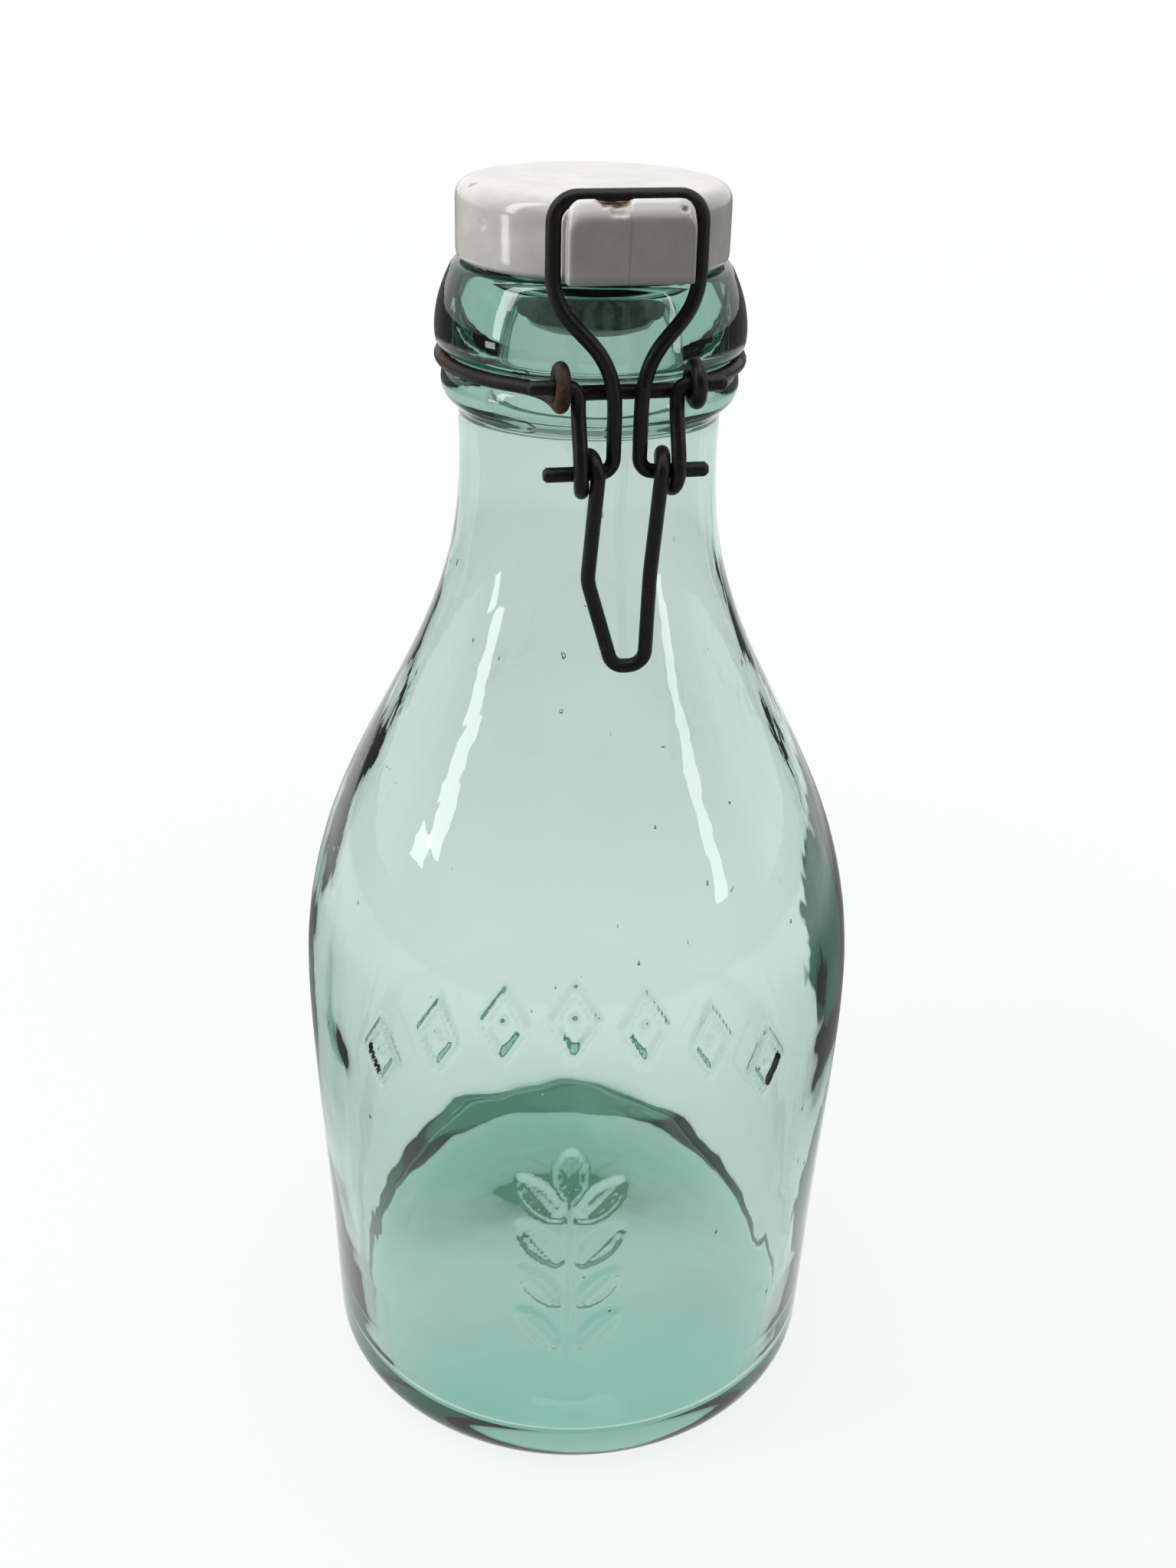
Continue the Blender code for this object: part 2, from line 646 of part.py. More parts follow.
def lever_side():
    """The right side of the lever, from its tip in the ring's eye to the end of its own eye."""
    turn = BAIL_WIRE / 2 + PIN_GAP + LEVER_WIRE / 2
    down = (0, 0, -1)
    path = [(LEVER_TIP, EYE_Y, EYE_Z)]
    path += corner((ARM_HALF + WIRE_BEND, EYE_Y, EYE_Z - WIRE_BEND), WIRE_BEND, 90, 180, 5, "xz")
    eye = eye_turn(ARM_HALF, HANDLE_HALF, BAIL_PIN_Y, BAIL_PIN_Z, turn, 0, 360, 20)
    path += bridge(path[-1], down, 1.6 * turn, eye[0], down, 1.6 * turn)[1:]
    return path + eye[1:]


def rounded_run(corners, radii):
    """Straight runs between corners, each corner bent to its radius."""
    path = [tuple(corners[0])]
    for before, at, after, radius in zip(corners, corners[1:], corners[2:], radii):
        at = Vector(at)
        back = (Vector(before) - at).normalized()
        ahead = (Vector(after) - at).normalized()
        half = back.angle(ahead) / 2
        centre = at + (back + ahead).normalized() * radius / math.sin(half)
        first = (at + back * radius / math.tan(half) - centre).normalized()
        last = (at + ahead * radius / math.tan(half) - centre).normalized()
        steps = max(2, round((math.pi - 2 * half) / math.radians(18)))
        path += [tuple(centre + first.slerp(last, k / steps) * radius) for k in range(steps + 1)]
    return path + [tuple(corners[-1])]


def make_lever(look):
    side = lever_side()
    other = mirrored(side)
    top_y = side[-1][1]

    def on_handle(x, z):
        lean = BAIL_PIN_Y - LOOP_OUT - top_y
        return (x, top_y + lean * (BAIL_PIN_Z - z) / (BAIL_PIN_Z - LOOP_LOW_Z), z)

    corners = [side[-1], on_handle(*RIGHT_KINK), on_handle(LOOP_RIGHT, LOOP_LOW_Z)]
    corners += [on_handle(LOOP_LEFT, LOOP_LOW_Z), on_handle(*LEFT_KINK), other[0]]
    handle = rounded_run(corners, (KINK_ROUND, LOOP_ROUND, LOOP_ROUND, KINK_ROUND))
    path = side + handle[1:-1] + other
    return add_object("lever", wire(path, LEVER_WIRE), (0.0, EYE_Y, EYE_Z), look)


def bail_half():
    """The right half of the bail, from the tip of its pin up to the middle of the top bar."""
    up = (0, 0, 1)
    path = [(BAIL_TIP, BAIL_PIN_Y, BAIL_PIN_Z)]
    pin_end = (LEGS_HALF + BAIL_PIN_BEND, BAIL_PIN_Y, BAIL_PIN_Z + BAIL_PIN_BEND)
    path += corner(pin_end, BAIL_PIN_BEND, -90, -180, 6, "xz")
    low = (LEGS_HALF, BAIL_PIN_Y, LEGS_PART_Z)
    high = (BAIL_HALF, BAR_Y, LEGS_SPREAD_Z)
    path += bridge(low, up, SPREAD_LOW_PULL, high, up, SPREAD_HIGH_PULL)
    top = (BAIL_HALF - BAIL_CORNER, BAR_Y, BAR_Z - BAIL_CORNER)
    return path + corner(top, BAIL_CORNER, 0, 90, 7, "xz") + [(0.0, BAR_Y, BAR_Z)]


def leaned(point):
    """A point of the bail moved to -X, more and more up to where its legs run straight again."""
    x, y, z = point
    share = min(max((z - LEGS_PART_Z) / (LEGS_SPREAD_Z - LEGS_PART_Z), 0.0), 1.0)
    return (x - BAIL_LEAN * share * share * (3.0 - 2.0 * share), y, z)


def make_bail(look):
    half = bail_half()
    path = [leaned(point) for point in half[:-1] + mirrored(half)]
    return add_object("bail", wire(path, BAIL_WIRE), (0.0, BAIL_PIN_Y, BAIL_PIN_Z), look)


def build():
    clear_scene()
    glass = material("glass", (0.55, 0.72, 0.67), 0.03, transmission=1.0, ior=1.5)
    glaze = material("glazed_ceramic", (0.70, 0.68, 0.62), 0.12)
    rubber = material("rubber", (0.12, 0.12, 0.11), 0.7)
    dark_wire = material("dark_wire", (0.045, 0.038, 0.033), 0.45, metallic=0.8)
    rusty_wire = material("rusty_wire", (0.085, 0.055, 0.038), 0.6, metallic=0.6)
    make_bottle(glass)
    make_stopper(glaze)
    make_gasket(rubber)
    make_neck_ring(rusty_wire)
    make_lever(dark_wire)
    make_bail(dark_wire)


build()
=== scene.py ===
# %% [markdown]
# # A glass bottle with a ceramic stopper and a wire closure
#
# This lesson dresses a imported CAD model: the CAD gives each piece its place and its joints, and the
# cells below give each piece the form and finish that one sees on a real, old, pressed bottle. The
# origin is the middle of the foot, +Z runs up the bottle, and the lever and bail are on the -Y side.
# Lengths are in metres, so a millimetre gets a name of its own.

import math

import bmesh
import bpy
import numpy as np
from mathutils import Matrix, Vector, noise


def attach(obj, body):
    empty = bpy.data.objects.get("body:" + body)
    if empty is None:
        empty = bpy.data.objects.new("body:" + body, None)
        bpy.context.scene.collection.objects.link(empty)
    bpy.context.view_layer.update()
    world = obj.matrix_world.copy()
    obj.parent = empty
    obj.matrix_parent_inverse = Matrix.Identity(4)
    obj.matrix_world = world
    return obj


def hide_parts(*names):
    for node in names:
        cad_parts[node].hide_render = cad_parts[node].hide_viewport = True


MM = 0.001
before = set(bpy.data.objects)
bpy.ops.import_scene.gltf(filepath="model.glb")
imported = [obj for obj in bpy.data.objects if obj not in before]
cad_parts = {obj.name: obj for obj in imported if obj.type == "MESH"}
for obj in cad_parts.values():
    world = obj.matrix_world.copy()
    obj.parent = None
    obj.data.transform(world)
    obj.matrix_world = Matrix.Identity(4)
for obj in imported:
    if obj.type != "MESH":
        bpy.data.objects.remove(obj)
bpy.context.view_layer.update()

# %% Short words for sizes and for showing an object


def mm(*sizes):
    """Several sizes given in millimetres, as metres."""
    return [size * MM for size in sizes]


def shown(piece):
    """Puts an object in the scene."""
    bpy.context.scene.collection.objects.link(piece)
    return piece


# %% [markdown]
# ## Small helpers for node trees
#
# Every finish here is procedural: noise, ramps and a little arithmetic on the piece's own Object
# coordinates. Linking nodes by hand takes many lines, so one helper makes a node and feeds each of
# its sockets, with a plain value or with what another node gives, and short words stand for the
# nodes that come often.

# %% Nodes, sums and ramps


def feed(tree, socket, value):
    """Links another node's output to a socket, or sets the socket to a plain value."""
    if isinstance(value, bpy.types.NodeSocket):
        tree.links.new(value, socket)
    else:
        socket.default_value = (*value, 1.0) if socket.type == "RGBA" else value


def put(tree, kind, inputs=None, **settings):
    """Adds a node, feeds its sockets and gives back its outputs."""
    made = tree.nodes.new(kind)
    for name, value in settings.items():
        setattr(made, name, value)
    for name, value in (inputs or {}).items():
        feed(tree, made.inputs[name], value)
    return made.outputs


def maths(tree, operation, *values):
    return put(tree, "ShaderNodeMath", dict(enumerate(values)), operation=operation)[0]


def times(tree, first, second):
    return maths(tree, "MULTIPLY", first, second)


def ramp(tree, value, low, high, to_low=0.0, to_high=1.0):
    """A smooth step from to_low to to_high as the value goes from low to high."""
    limits = {"From Min": low, "From Max": high, "To Min": to_low, "To Max": to_high}
    return put(tree, "ShaderNodeMapRange", {"Value": value, **limits},
               interpolation_type="SMOOTHSTEP")["Result"]


# %% Noise and colours


def cloud(tree, where, scale, detail=3.0, roughness=0.5, distortion=0.0):
    """Noise from 0 to 1 at a number of features per metre."""
    return put(tree, "ShaderNodeTexNoise", {
        "Vector": where, "Scale": scale, "Detail": detail, "Roughness": roughness,
        "Distortion": distortion})[0]


def blend(tree, share, first, second):
    """A colour between two colours. A Mix node takes them at 6 and 7 and gives the colour at 2."""
    return put(tree, "ShaderNodeMix", {0: share, 6: first, 7: second}, data_type="RGBA")[2]


def stretched(tree, where, scale):
    """Object coordinates scaled by a different amount along each axis."""
    return put(tree, "ShaderNodeMapping", {"Vector": where, "Scale": scale})[0]


def axes(tree, where):
    """The X, Y and Z of a place or direction."""
    return put(tree, "ShaderNodeSeparateXYZ", {0: where})


# %% Materials


def finish(name):
    """A new material: its tree, its Principled shader and its Object coordinates."""
    made = bpy.data.materials.new(name)
    made.use_nodes = True
    tree = made.node_tree
    where = put(tree, "ShaderNodeTexCoord")["Object"]
    return made, tree, tree.nodes["Principled BSDF"], where


def into(tree, shader, **values):
    """Feeds the Principled shader's sockets by name, with _ for a space."""
    for name, value in values.items():
        feed(tree, shader.inputs[name.replace("_", " ")], value)


def bumped(tree, height, distance, strength=1.0):
    return put(tree, "ShaderNodeBump",
               {"Height": height, "Distance": distance, "Strength": strength})[0]


def give(tree, kind, shape):
    """Gives what a material's nodes made to its output, as a Surface or a Volume."""
    tree.links.new(shape, tree.nodes["Material Output"].inputs[kind])


def dress(piece, look):
    """The one finish of a piece."""
    piece.data.materials.clear()
    piece.data.materials.append(look)


# %% [markdown]
# ## The camera
#
# The photograph was taken from about 41 cm away and well above the bottle, looking 27 degrees down,
# from a little to the left of the closure. The height, distance, turn and a slight roll of the camera
# were worked out from the outline of the glass and the ellipses of its lip and foot.

# %% Camera
CAMERA_TURN, CAMERA_DOWN, CAMERA_ROLL = math.radians(-12.3), math.radians(27.18), -0.0229
CAMERA_OUT, CAMERA_UP = mm(300.0, 283.8)
FOCAL, SENSOR, SIDE_SHIFT = 39.93, 36.0, 0.00498

ahead = Vector((
    -math.sin(CAMERA_TURN) * math.cos(CAMERA_DOWN),
    math.cos(CAMERA_TURN) * math.cos(CAMERA_DOWN),
    -math.sin(CAMERA_DOWN),
))
level_right = Vector((math.cos(CAMERA_TURN), math.sin(CAMERA_TURN), 0.0))
level_up = level_right.cross(ahead)
right = level_right * math.cos(CAMERA_ROLL) - level_up * math.sin(CAMERA_ROLL)
up = level_right * math.sin(CAMERA_ROLL) + level_up * math.cos(CAMERA_ROLL)
camera = bpy.data.objects.new("camera", bpy.data.cameras.new("camera"))
camera.data.sensor_fit = "VERTICAL"
camera.data.sensor_height = camera.data.sensor_width = SENSOR
camera.data.lens = FOCAL
camera.data.shift_x = SIDE_SHIFT
camera.data.clip_start = 0.01
place = Matrix((right, up, -ahead)).transposed().to_4x4()
place.translation = (
    CAMERA_OUT * math.sin(CAMERA_TURN), -CAMERA_OUT * math.cos(CAMERA_TURN), CAMERA_UP)
camera.matrix_world = place
bpy.context.scene.camera = shown(camera)
print("camera at", [round(v, 3) for v in place.translation])

# %% [markdown]
# ## Profiles
#
# A bottle, a lid and a rubber ring are bodies of revolution. The lines below are the same as in the
# CAD source, from the same named sizes, with more points: a profile is a list of (radius, height).
# Real glass has no sharp edge, because it leaves the mould hot, so a profile is first cut into short
# equal steps, then each point is drawn a little towards its neighbours, which rounds every corner.

# %% Sizes of the glass
FOOT_R, FOOT_W, HEEL_R, PUSH_UP = mm(43.9, 4.4, 7.0, 2.2)
WALL_LOW_PULL, WALL_LOW_Z, WALL_HIGH_PULL = mm(53.6, 64.0, 12.2)
BODY_R, BODY_Z = mm(54.36, 89.5)
SHOULDER_PULL, NECK_PULL = mm(50.6, 45.4)
NECK_R, NECK_Z = mm(22.75, 198.0)
BEAD_R, BEAD_LOW_Z, BEAD_Z = mm(25.75, 204.4, 209.2)
GROOVE_GAP = 0.3 * MM
LIP_R, LIP_Z, LIP_TOP_R, LIP_TOP_Z = mm(26.7, 217.6, 23.0, 228.8)
LIP_ROUND = 1.4 * MM
WALL_T, FLOOR_Z, INSIDE_HEEL_R = mm(4.4, 10.3, 2.5)
FLOOR_TILT, FLOOR_BOWL, FRONT_LIFT = mm(8.8, 5.4, 2.2)
NECK_INSIDE_R, BORE_R, BORE_LOW_Z = mm(19.2, 16.2, 214.0)
BEVEL_LOW_Z, MOUTH_R, MOUTH_EDGE = mm(224.6, 18.9, 0.5)
RING_WIRE, RING_R, RING_Z = mm(2.5, 25.6, 213.1)

# %% Lines and arcs


def curve(start, pull_a, pull_b, end, steps):
    """Points after the start of a cubic curve."""
    t = np.linspace(0.0, 1.0, steps + 1)[1:, None]
    corners = [np.array(p, float) for p in (start, pull_a, pull_b, end)]
    weights = ((1 - t) ** 3, 3 * t * (1 - t) ** 2, 3 * t * t * (1 - t), t**3)
    return [tuple(p) for p in sum(w * c for w, c in zip(weights, corners))]


def arc(centre, radius, start, end, steps):
    """Points of an arc, angles in degrees from the outward direction. radius may be a pair."""
    across, tall = np.broadcast_to(radius, 2)
    angles = np.radians(np.linspace(start, end, steps + 1))
    return [(centre[0] + across * math.cos(a), centre[1] + tall * math.sin(a)) for a in angles]


def eased(line, step, rounds):
    """The line in short equal steps, with its corners rounded off. Its two ends stay."""
    line = np.array(line, float)
    lengths = np.r_[0.0, np.cumsum(np.linalg.norm(np.diff(line, axis=0), axis=1))]
    stations = np.linspace(0.0, lengths[-1], max(3, round(lengths[-1] / step)))
    even = np.column_stack([np.interp(stations, lengths, line[:, k]) for k in (0, 1)])
    for _ in range(rounds):
        even[1:-1] = 0.5 * even[1:-1] + 0.25 * (even[:-2] + even[2:])
    return even


def thinned(line, spacing):
    """Fewer points of a fine line, spacing(radius, height) apart."""
    kept, travelled = [line[0]], 0.0
    for before, at in zip(line, line[1:]):
        travelled += np.linalg.norm(at - before)
        if travelled >= spacing(*at):
            kept.append(at)
            travelled = 0.0
    kept[-1] = line[-1]
    return np.array(kept)


# %% The two lines of the glass


def outside_line():
    """The glass outside, from the middle of the underside up to the rim."""
    ring_in = FOOT_R - FOOT_W
    line = [(ring_in * share, PUSH_UP * (1.0 - share**2) ** 1.5) for share in np.linspace(0, 1, 12)]
    line += arc((FOOT_R, HEEL_R), HEEL_R, -90, 3, 24)
    line += curve(line[-1], (WALL_LOW_PULL, WALL_LOW_Z), (BODY_R, BODY_Z - WALL_HIGH_PULL),
                  (BODY_R, BODY_Z), 60)
    line += curve((BODY_R, BODY_Z), (BODY_R, BODY_Z + SHOULDER_PULL), (NECK_R, NECK_Z - NECK_PULL),
                  (NECK_R, NECK_Z), 120)
    line.append((NECK_R, BEAD_LOW_Z))
    across, tall = (BEAD_Z - BEAD_LOW_Z) * 0.62, (BEAD_Z - BEAD_LOW_Z) * 0.8
    line += arc((BEAD_R - across, BEAD_Z), (across, tall), -72, 20, 11)
    groove = RING_WIRE / 2 + GROOVE_GAP
    line += arc((RING_R, RING_Z), (-groove, groove), -75, 75, 11)
    under = LIP_Z - RING_Z - groove
    line += [(LIP_R - 0.45 * MM, LIP_Z - under * 0.86), (LIP_R - 0.08 * MM, LIP_Z - under * 0.5)]
    line.append((LIP_R, LIP_Z))
    rim = (LIP_TOP_R - LIP_ROUND * 0.3, LIP_TOP_Z - LIP_ROUND)
    side_top = arc(rim, LIP_ROUND, 28, 28, 1)[0]
    line += curve((LIP_R, LIP_Z), (LIP_R, LIP_Z + 4.6 * MM),
                  (side_top[0] + 1.2 * MM, side_top[1] - 2.4 * MM), side_top, 20)
    return line + arc(rim, LIP_ROUND, 28, 90, 6)[1:]


def inside_line():
    """The glass inside, from the rim down to the middle of the floor."""
    line = [(MOUTH_R + MOUTH_EDGE, LIP_TOP_Z), (MOUTH_R, LIP_TOP_Z - MOUTH_EDGE)]
    line += [(BORE_R, BEVEL_LOW_Z), (BORE_R, BORE_LOW_Z)]
    narrowing = (BORE_LOW_Z - NECK_Z) / 2
    line += curve((BORE_R, BORE_LOW_Z), (BORE_R, BORE_LOW_Z - narrowing),
                  (NECK_INSIDE_R, NECK_Z + narrowing), (NECK_INSIDE_R, NECK_Z - MM), 20)
    inside = BODY_R - WALL_T
    shoulder = curve((inside, BODY_Z), (inside, BODY_Z + SHOULDER_PULL),
                     (NECK_INSIDE_R, NECK_Z - NECK_PULL), (NECK_INSIDE_R, NECK_Z - MM), 80)
    line += list(reversed(shoulder[:-1])) + [(inside, BODY_Z)]
    low = FOOT_R + HEEL_R - WALL_T
    line.append((0.5 * (low + inside) + 0.5 * MM, 0.5 * (FLOOR_Z + INSIDE_HEEL_R + BODY_Z)))
    line += arc((low - INSIDE_HEEL_R, FLOOR_Z + INSIDE_HEEL_R), INSIDE_HEEL_R, 0, -90, 24)
    return line + [(0.5 * low, FLOOR_Z + 0.2 * MM), (0.0, FLOOR_Z + 0.4 * MM)]


# %% [markdown]
# ## Skins
#
# A body of revolution could be made with the Screw modifier, but here each point gets its own small
# error, as hand-made moulds and hot glass give it. So the rings of points are laid out as one array
# of rows and columns, changed as a whole with numpy, and skinned at the end.

# %% Skin helpers


def around(count):
    """Equal steps of a full turn."""
    return np.linspace(0, 2 * math.pi, count, endpoint=False)


def turned(line, angles):
    """Rings of points, as rows x columns x 3, from a profile and the angles of its columns."""
    radius, height = line[:, 0, None], line[:, 1, None]
    return np.stack([radius * np.cos(angles), radius * np.sin(angles),
                     height + 0.0 * angles], axis=2)


def skin(rings, first_pole=None, last_pole=None, looped=False):
    """Vertices and faces of a closed surface over rings of points, with a point at each pole."""
    rows, columns, _ = rings.shape
    points = [tuple(p) for p in rings.reshape(-1, 3)]
    faces = []
    for row in range(rows if looped else rows - 1):
        low, high = row * columns, (row + 1) % rows * columns
        for k in range(columns):
            n = (k + 1) % columns
            faces.append((low + k, low + n, high + n, high + k))
    for pole, start, turn in ((first_pole, 0, -1), (last_pole, (rows - 1) * columns, 1)):
        if pole is not None:
            points.append(tuple(pole))
            for k in range(columns):
                n = (k + 1) % columns
                faces.append((start + k, start + n, len(points) - 1)[::turn])
    return points, faces


# %% Pieces from points and from modifiers


def add_piece(name, points, faces, look=None, edges=()):
    mesh = bpy.data.meshes.new(name)
    mesh.from_pydata(points, edges, faces)
    mesh.validate()
    mesh.shade_smooth()
    piece = shown(bpy.data.objects.new(name, mesh))
    if look:
        dress(piece, look)
    return piece


def plain_mesh(thing, name, look=None):
    """The evaluated object as a plain mesh piece; the object with its modifiers is removed."""
    seen = bpy.context.evaluated_depsgraph_get()
    seen.update()
    mesh = bpy.data.meshes.new_from_object(thing.evaluated_get(seen))
    mesh.name = name
    bpy.data.objects.remove(thing, do_unlink=True)
    piece = shown(bpy.data.objects.new(name, mesh))
    if look:
        dress(piece, look)
    return piece


def faces_of(piece):
    return sum(len(p.vertices) - 2 for p in piece.data.polygons)


def told(piece):
    print(f"{piece.name}: {faces_of(piece)} triangles")


# %% Errors as real glass has them


def held(share):
    """A share kept between 0 and 1."""
    return np.clip(share, 0.0, 1.0)


def waver(points, scale, seed=0.0):
    """Smooth noise from -1 to 1 at each point of an array; scale is features per metre."""
    flat = points.reshape(-1, 3) * scale + seed
    return np.array([noise.noise(p) for p in flat]).reshape(points.shape[:-1])


def soft_step(share):
    """A share kept between 0 and 1, with soft ends."""
    share = held(share)
    return share * share * (3 - 2 * share)


def pushed(rings, amount):
    """Each point moved outwards from the axis by an amount."""
    flat = np.linalg.norm(rings[:, :, :2], axis=2)
    scale = 1.0 + amount / np.maximum(flat, 1e-6)
    return np.dstack([rings[:, :, 0] * scale, rings[:, :, 1] * scale, rings[:, :, 2]])


# %% [markdown]
# ## Glass
#
# Old green glass looks dark where one looks along it and pale where one looks through it, because
# the light loses red on its way. Volume Absorption does just that: the same density everywhere, and
# the thickness of the wall does the rest. A render follows light through a few surfaces only, so the
# surface colour also carries painted shade: dark flames at the edges where one looks along the lip,
# the lower body and a few runs near the sides, dark flanks on the raised lines, a greyer shoulder and
# neck, and a darker green foot in front. The surface is a clear Principled shader, with a faint
# roughness that changes over it, and a soft waviness in the bump.

# %% Where one looks far along the glass
# the second colour is painted shade, a greyer shoulder and neck
WALL_TINT, UPPER_SHADE_TINT = (0.975, 0.985, 0.98), (0.868, 0.885, 0.878)
# the front colour is painted shade, a darker green foot in front than behind
FOOT_BACK_TINT, FOOT_FRONT_SHADE_TINT = (0.84, 0.99, 0.96), (0.13, 0.46, 0.37)
# both colours are painted shade: dark flanks on the raised lines, and dark edges where one looks
# along the glass
FLANK_SHADE_TINT, LONG_WAY_SHADE_TINT = (0.01, 0.07, 0.045), (0.003, 0.030, 0.020)
GLASS_COLOUR, GLASS_DENSITY = (0.0, 0.47, 0.32), 51.0
UPPER_FADE, NECK_FADE = mm(118.0, 150.0), mm(165.0, 185.0)
FOOT_FADE, FOOT_SHADE_BACK_TO_FRONT = mm(3.6, 2.4), mm(20.0, -28.0)


def seen_along(tree):
    """0 where the surface faces the eye, towards 1 where one looks along it."""
    return put(tree, "ShaderNodeLayerWeight", {"Blend": 0.5})["Facing"]


def marked(tree, name):
    """A number that the mesh carries at each of its points."""
    return put(tree, "ShaderNodeAttribute", attribute_name=name)["Fac"]


def long_way_shade(tree, where):
    """1 where painted shade darkens edges that one looks far along, in uneven flames."""
    facing = seen_along(tree)
    flame = cloud(tree, stretched(tree, where, (120.0, 120.0, 26.0)), 1.0, 2.5, 0.55, 1.2)
    lean = maths(tree, "MULTIPLY_ADD", maths(tree, "SUBTRACT", flame, 0.5), 0.75,
                 maths(tree, "ADD", facing, marked(tree, "dark_edge")))
    at_edge = ramp(tree, facing, 0.98, 0.88, 0.5, 1.0)
    return times(tree, ramp(tree, lean, 1.30, 1.36), at_edge)


# %% Glass finish
POLISHED, SMUDGED, WAVE_H = 0.012, 0.10, 0.10 * MM


def glass_tint(tree, where):
    """The colour that light takes on at the surface, on top of the absorption inside, plus painted
    shade.
    """
    parts = axes(tree, where)
    # painted shade: the shoulder greyer where it faces the eye, and the whole neck greyer
    facing = ramp(tree, seen_along(tree), 0.5, 0.2)
    upper_shade = times(tree, ramp(tree, parts["Z"], *UPPER_FADE), facing)
    upper_shade = maths(tree, "MAXIMUM", upper_shade, ramp(tree, parts["Z"], *NECK_FADE))
    tint = blend(tree, upper_shade, WALL_TINT, UPPER_SHADE_TINT)
    # painted shade: the bottom of the foot darker green towards the front
    foot = ramp(tree, parts["Y"], *FOOT_SHADE_BACK_TO_FRONT)
    foot = blend(tree, foot, FOOT_BACK_TINT, FOOT_FRONT_SHADE_TINT)
    tint = blend(tree, ramp(tree, parts["Z"], *FOOT_FADE), tint, foot)
    # painted shade on the flanks of the raised lines
    tint = blend(tree, marked(tree, "flank_shade"), tint, FLANK_SHADE_TINT)
    # painted shade: dark flames at the edges where one looks along the glass
    return blend(tree, long_way_shade(tree, where), tint, LONG_WAY_SHADE_TINT)


def make_glass():
    look, tree, shader, where = finish("pressed_glass")
    smudge = cloud(tree, where, 45.0, 4.0, 0.6)
    wiped = cloud(tree, stretched(tree, where, (220.0, 220.0, 30.0)), 1.0, 2.0)
    rough = times(tree, ramp(tree, smudge, 0.5, 0.8), ramp(tree, wiped, 0.4, 0.9))
    wavy = cloud(tree, stretched(tree, where, (1.0, 1.0, 0.45)), 60.0, 2.0, 0.4)
    runs = cloud(tree, stretched(tree, where, (240.0, 240.0, 14.0)), 1.0, 2.0, 0.5)
    runs = times(tree, runs, ramp(tree, axes(tree, where)["Z"], 90 * MM, 160 * MM, 0.1, 0.8))
    into(tree, shader, Base_Color=glass_tint(tree, where), IOR=1.5, Transmission_Weight=1.0,
         Roughness=maths(tree, "MULTIPLY_ADD", rough, SMUDGED, POLISHED),
         Normal=bumped(tree, maths(tree, "ADD", wavy, runs), WAVE_H))
    dark = put(tree, "ShaderNodeVolumeAbsorption",
               {"Color": GLASS_COLOUR, "Density": GLASS_DENSITY})
    give(tree, "Volume", dark[0])
    return look


glass = make_glass()
print("glass:", len(glass.node_tree.nodes), "nodes")

# %% [markdown]
# ## Raised pattern
#
# Bottles of this kind carry raised marks from the mould. Here they are a plain arch of lozenges with
# a leafy sprig below. A raised line is a height that depends on the distance to the line, so each
# mark is a few lines of arithmetic on (distance round the wall, height), and no mesh has to be cut.

# %% Single marks
PATTERN_TURN = math.radians(-12.3)
LOZENGES, LOZENGE_STEP = 7, math.radians(13.5)
ARCH_TOP_Z, ARCH_DROP = mm(110.0, 15.0)
LOZENGE_H, LOZENGE_W = mm(13.0, 7.6)
SPRIG_LOW_Z, SPRIG_TOP_Z, LEAF_PAIRS = 34.0 * MM, 84.0 * MM, 4
LEAF_L, LEAF_W, LEAF_TILT = 12.0 * MM, 4.6 * MM, math.radians(38.0)
LINE_W, LINE_H = mm(0.95, 0.70)
LEAF_ASIDE, STEM_W, STEM_H, STEM_BEND = mm(5.6, 0.72, 0.85, 0.5)


def rib(distance, width, height):
    """A rounded raised line: full height at distance 0, nothing past its width."""
    return height * held(1.0 - (distance / width) ** 2) ** 1.5


def lozenge(across, along):
    a, b = LOZENGE_W / 2, LOZENGE_H / 2
    edge = (np.abs(across) / a + np.abs(along) / b - 1.0) / math.hypot(1 / a, 1 / b)
    middle = np.hypot(across, along * 0.7)
    return np.maximum(rib(edge, LINE_W, LINE_H), rib(middle, 1.5 * MM, 0.5 * MM))


def leaf(across, along):
    share = held(1.0 - (2 * along / LEAF_L) ** 2)
    half = LEAF_W / 2 * share**0.8
    edge = np.where(share > 0, np.abs(across) - half, 1.0)
    blade = 0.42 * MM * held(-edge / (0.6 * MM))
    vein = rib(across, 0.5 * MM, 0.3 * MM) * (share > 0.05)
    return np.maximum(blade + vein, rib(edge, 0.6 * MM, 0.62 * MM) * (share > 0))


# %% All marks together


def pattern_height(round_wall, height, radius):
    """Relief at points given by their distance round the wall from the pattern's middle."""
    total = np.zeros_like(round_wall)
    for k in range(LOZENGES):
        place = k - (LOZENGES - 1) / 2
        middle = ARCH_TOP_Z - ARCH_DROP * (place / ((LOZENGES - 1) / 2)) ** 2
        across = round_wall - place * LOZENGE_STEP * radius
        total = np.maximum(total, lozenge(across, height - middle))
    for k in range(LEAF_PAIRS):
        middle = SPRIG_LOW_Z + (SPRIG_TOP_Z - SPRIG_LOW_Z) * (k + 0.5) / (LEAF_PAIRS + 0.6)
        for way in (-1, 1):
            x, z = round_wall - way * LEAF_ASIDE, height - middle
            c, s = math.cos(way * LEAF_TILT), math.sin(way * LEAF_TILT)
            total = np.maximum(total, leaf(c * x - s * z, s * x + c * z))
    total = np.maximum(total, leaf(round_wall, height - (SPRIG_TOP_Z - LEAF_L / 2)))
    bend = STEM_BEND * np.sin((height - SPRIG_LOW_Z) / (9 * MM))
    stem = rib(round_wall - bend, STEM_W, STEM_H)
    ends = (height > SPRIG_LOW_Z - 3 * MM) & (height < SPRIG_TOP_Z - LEAF_L)
    return np.maximum(total, stem * ends)


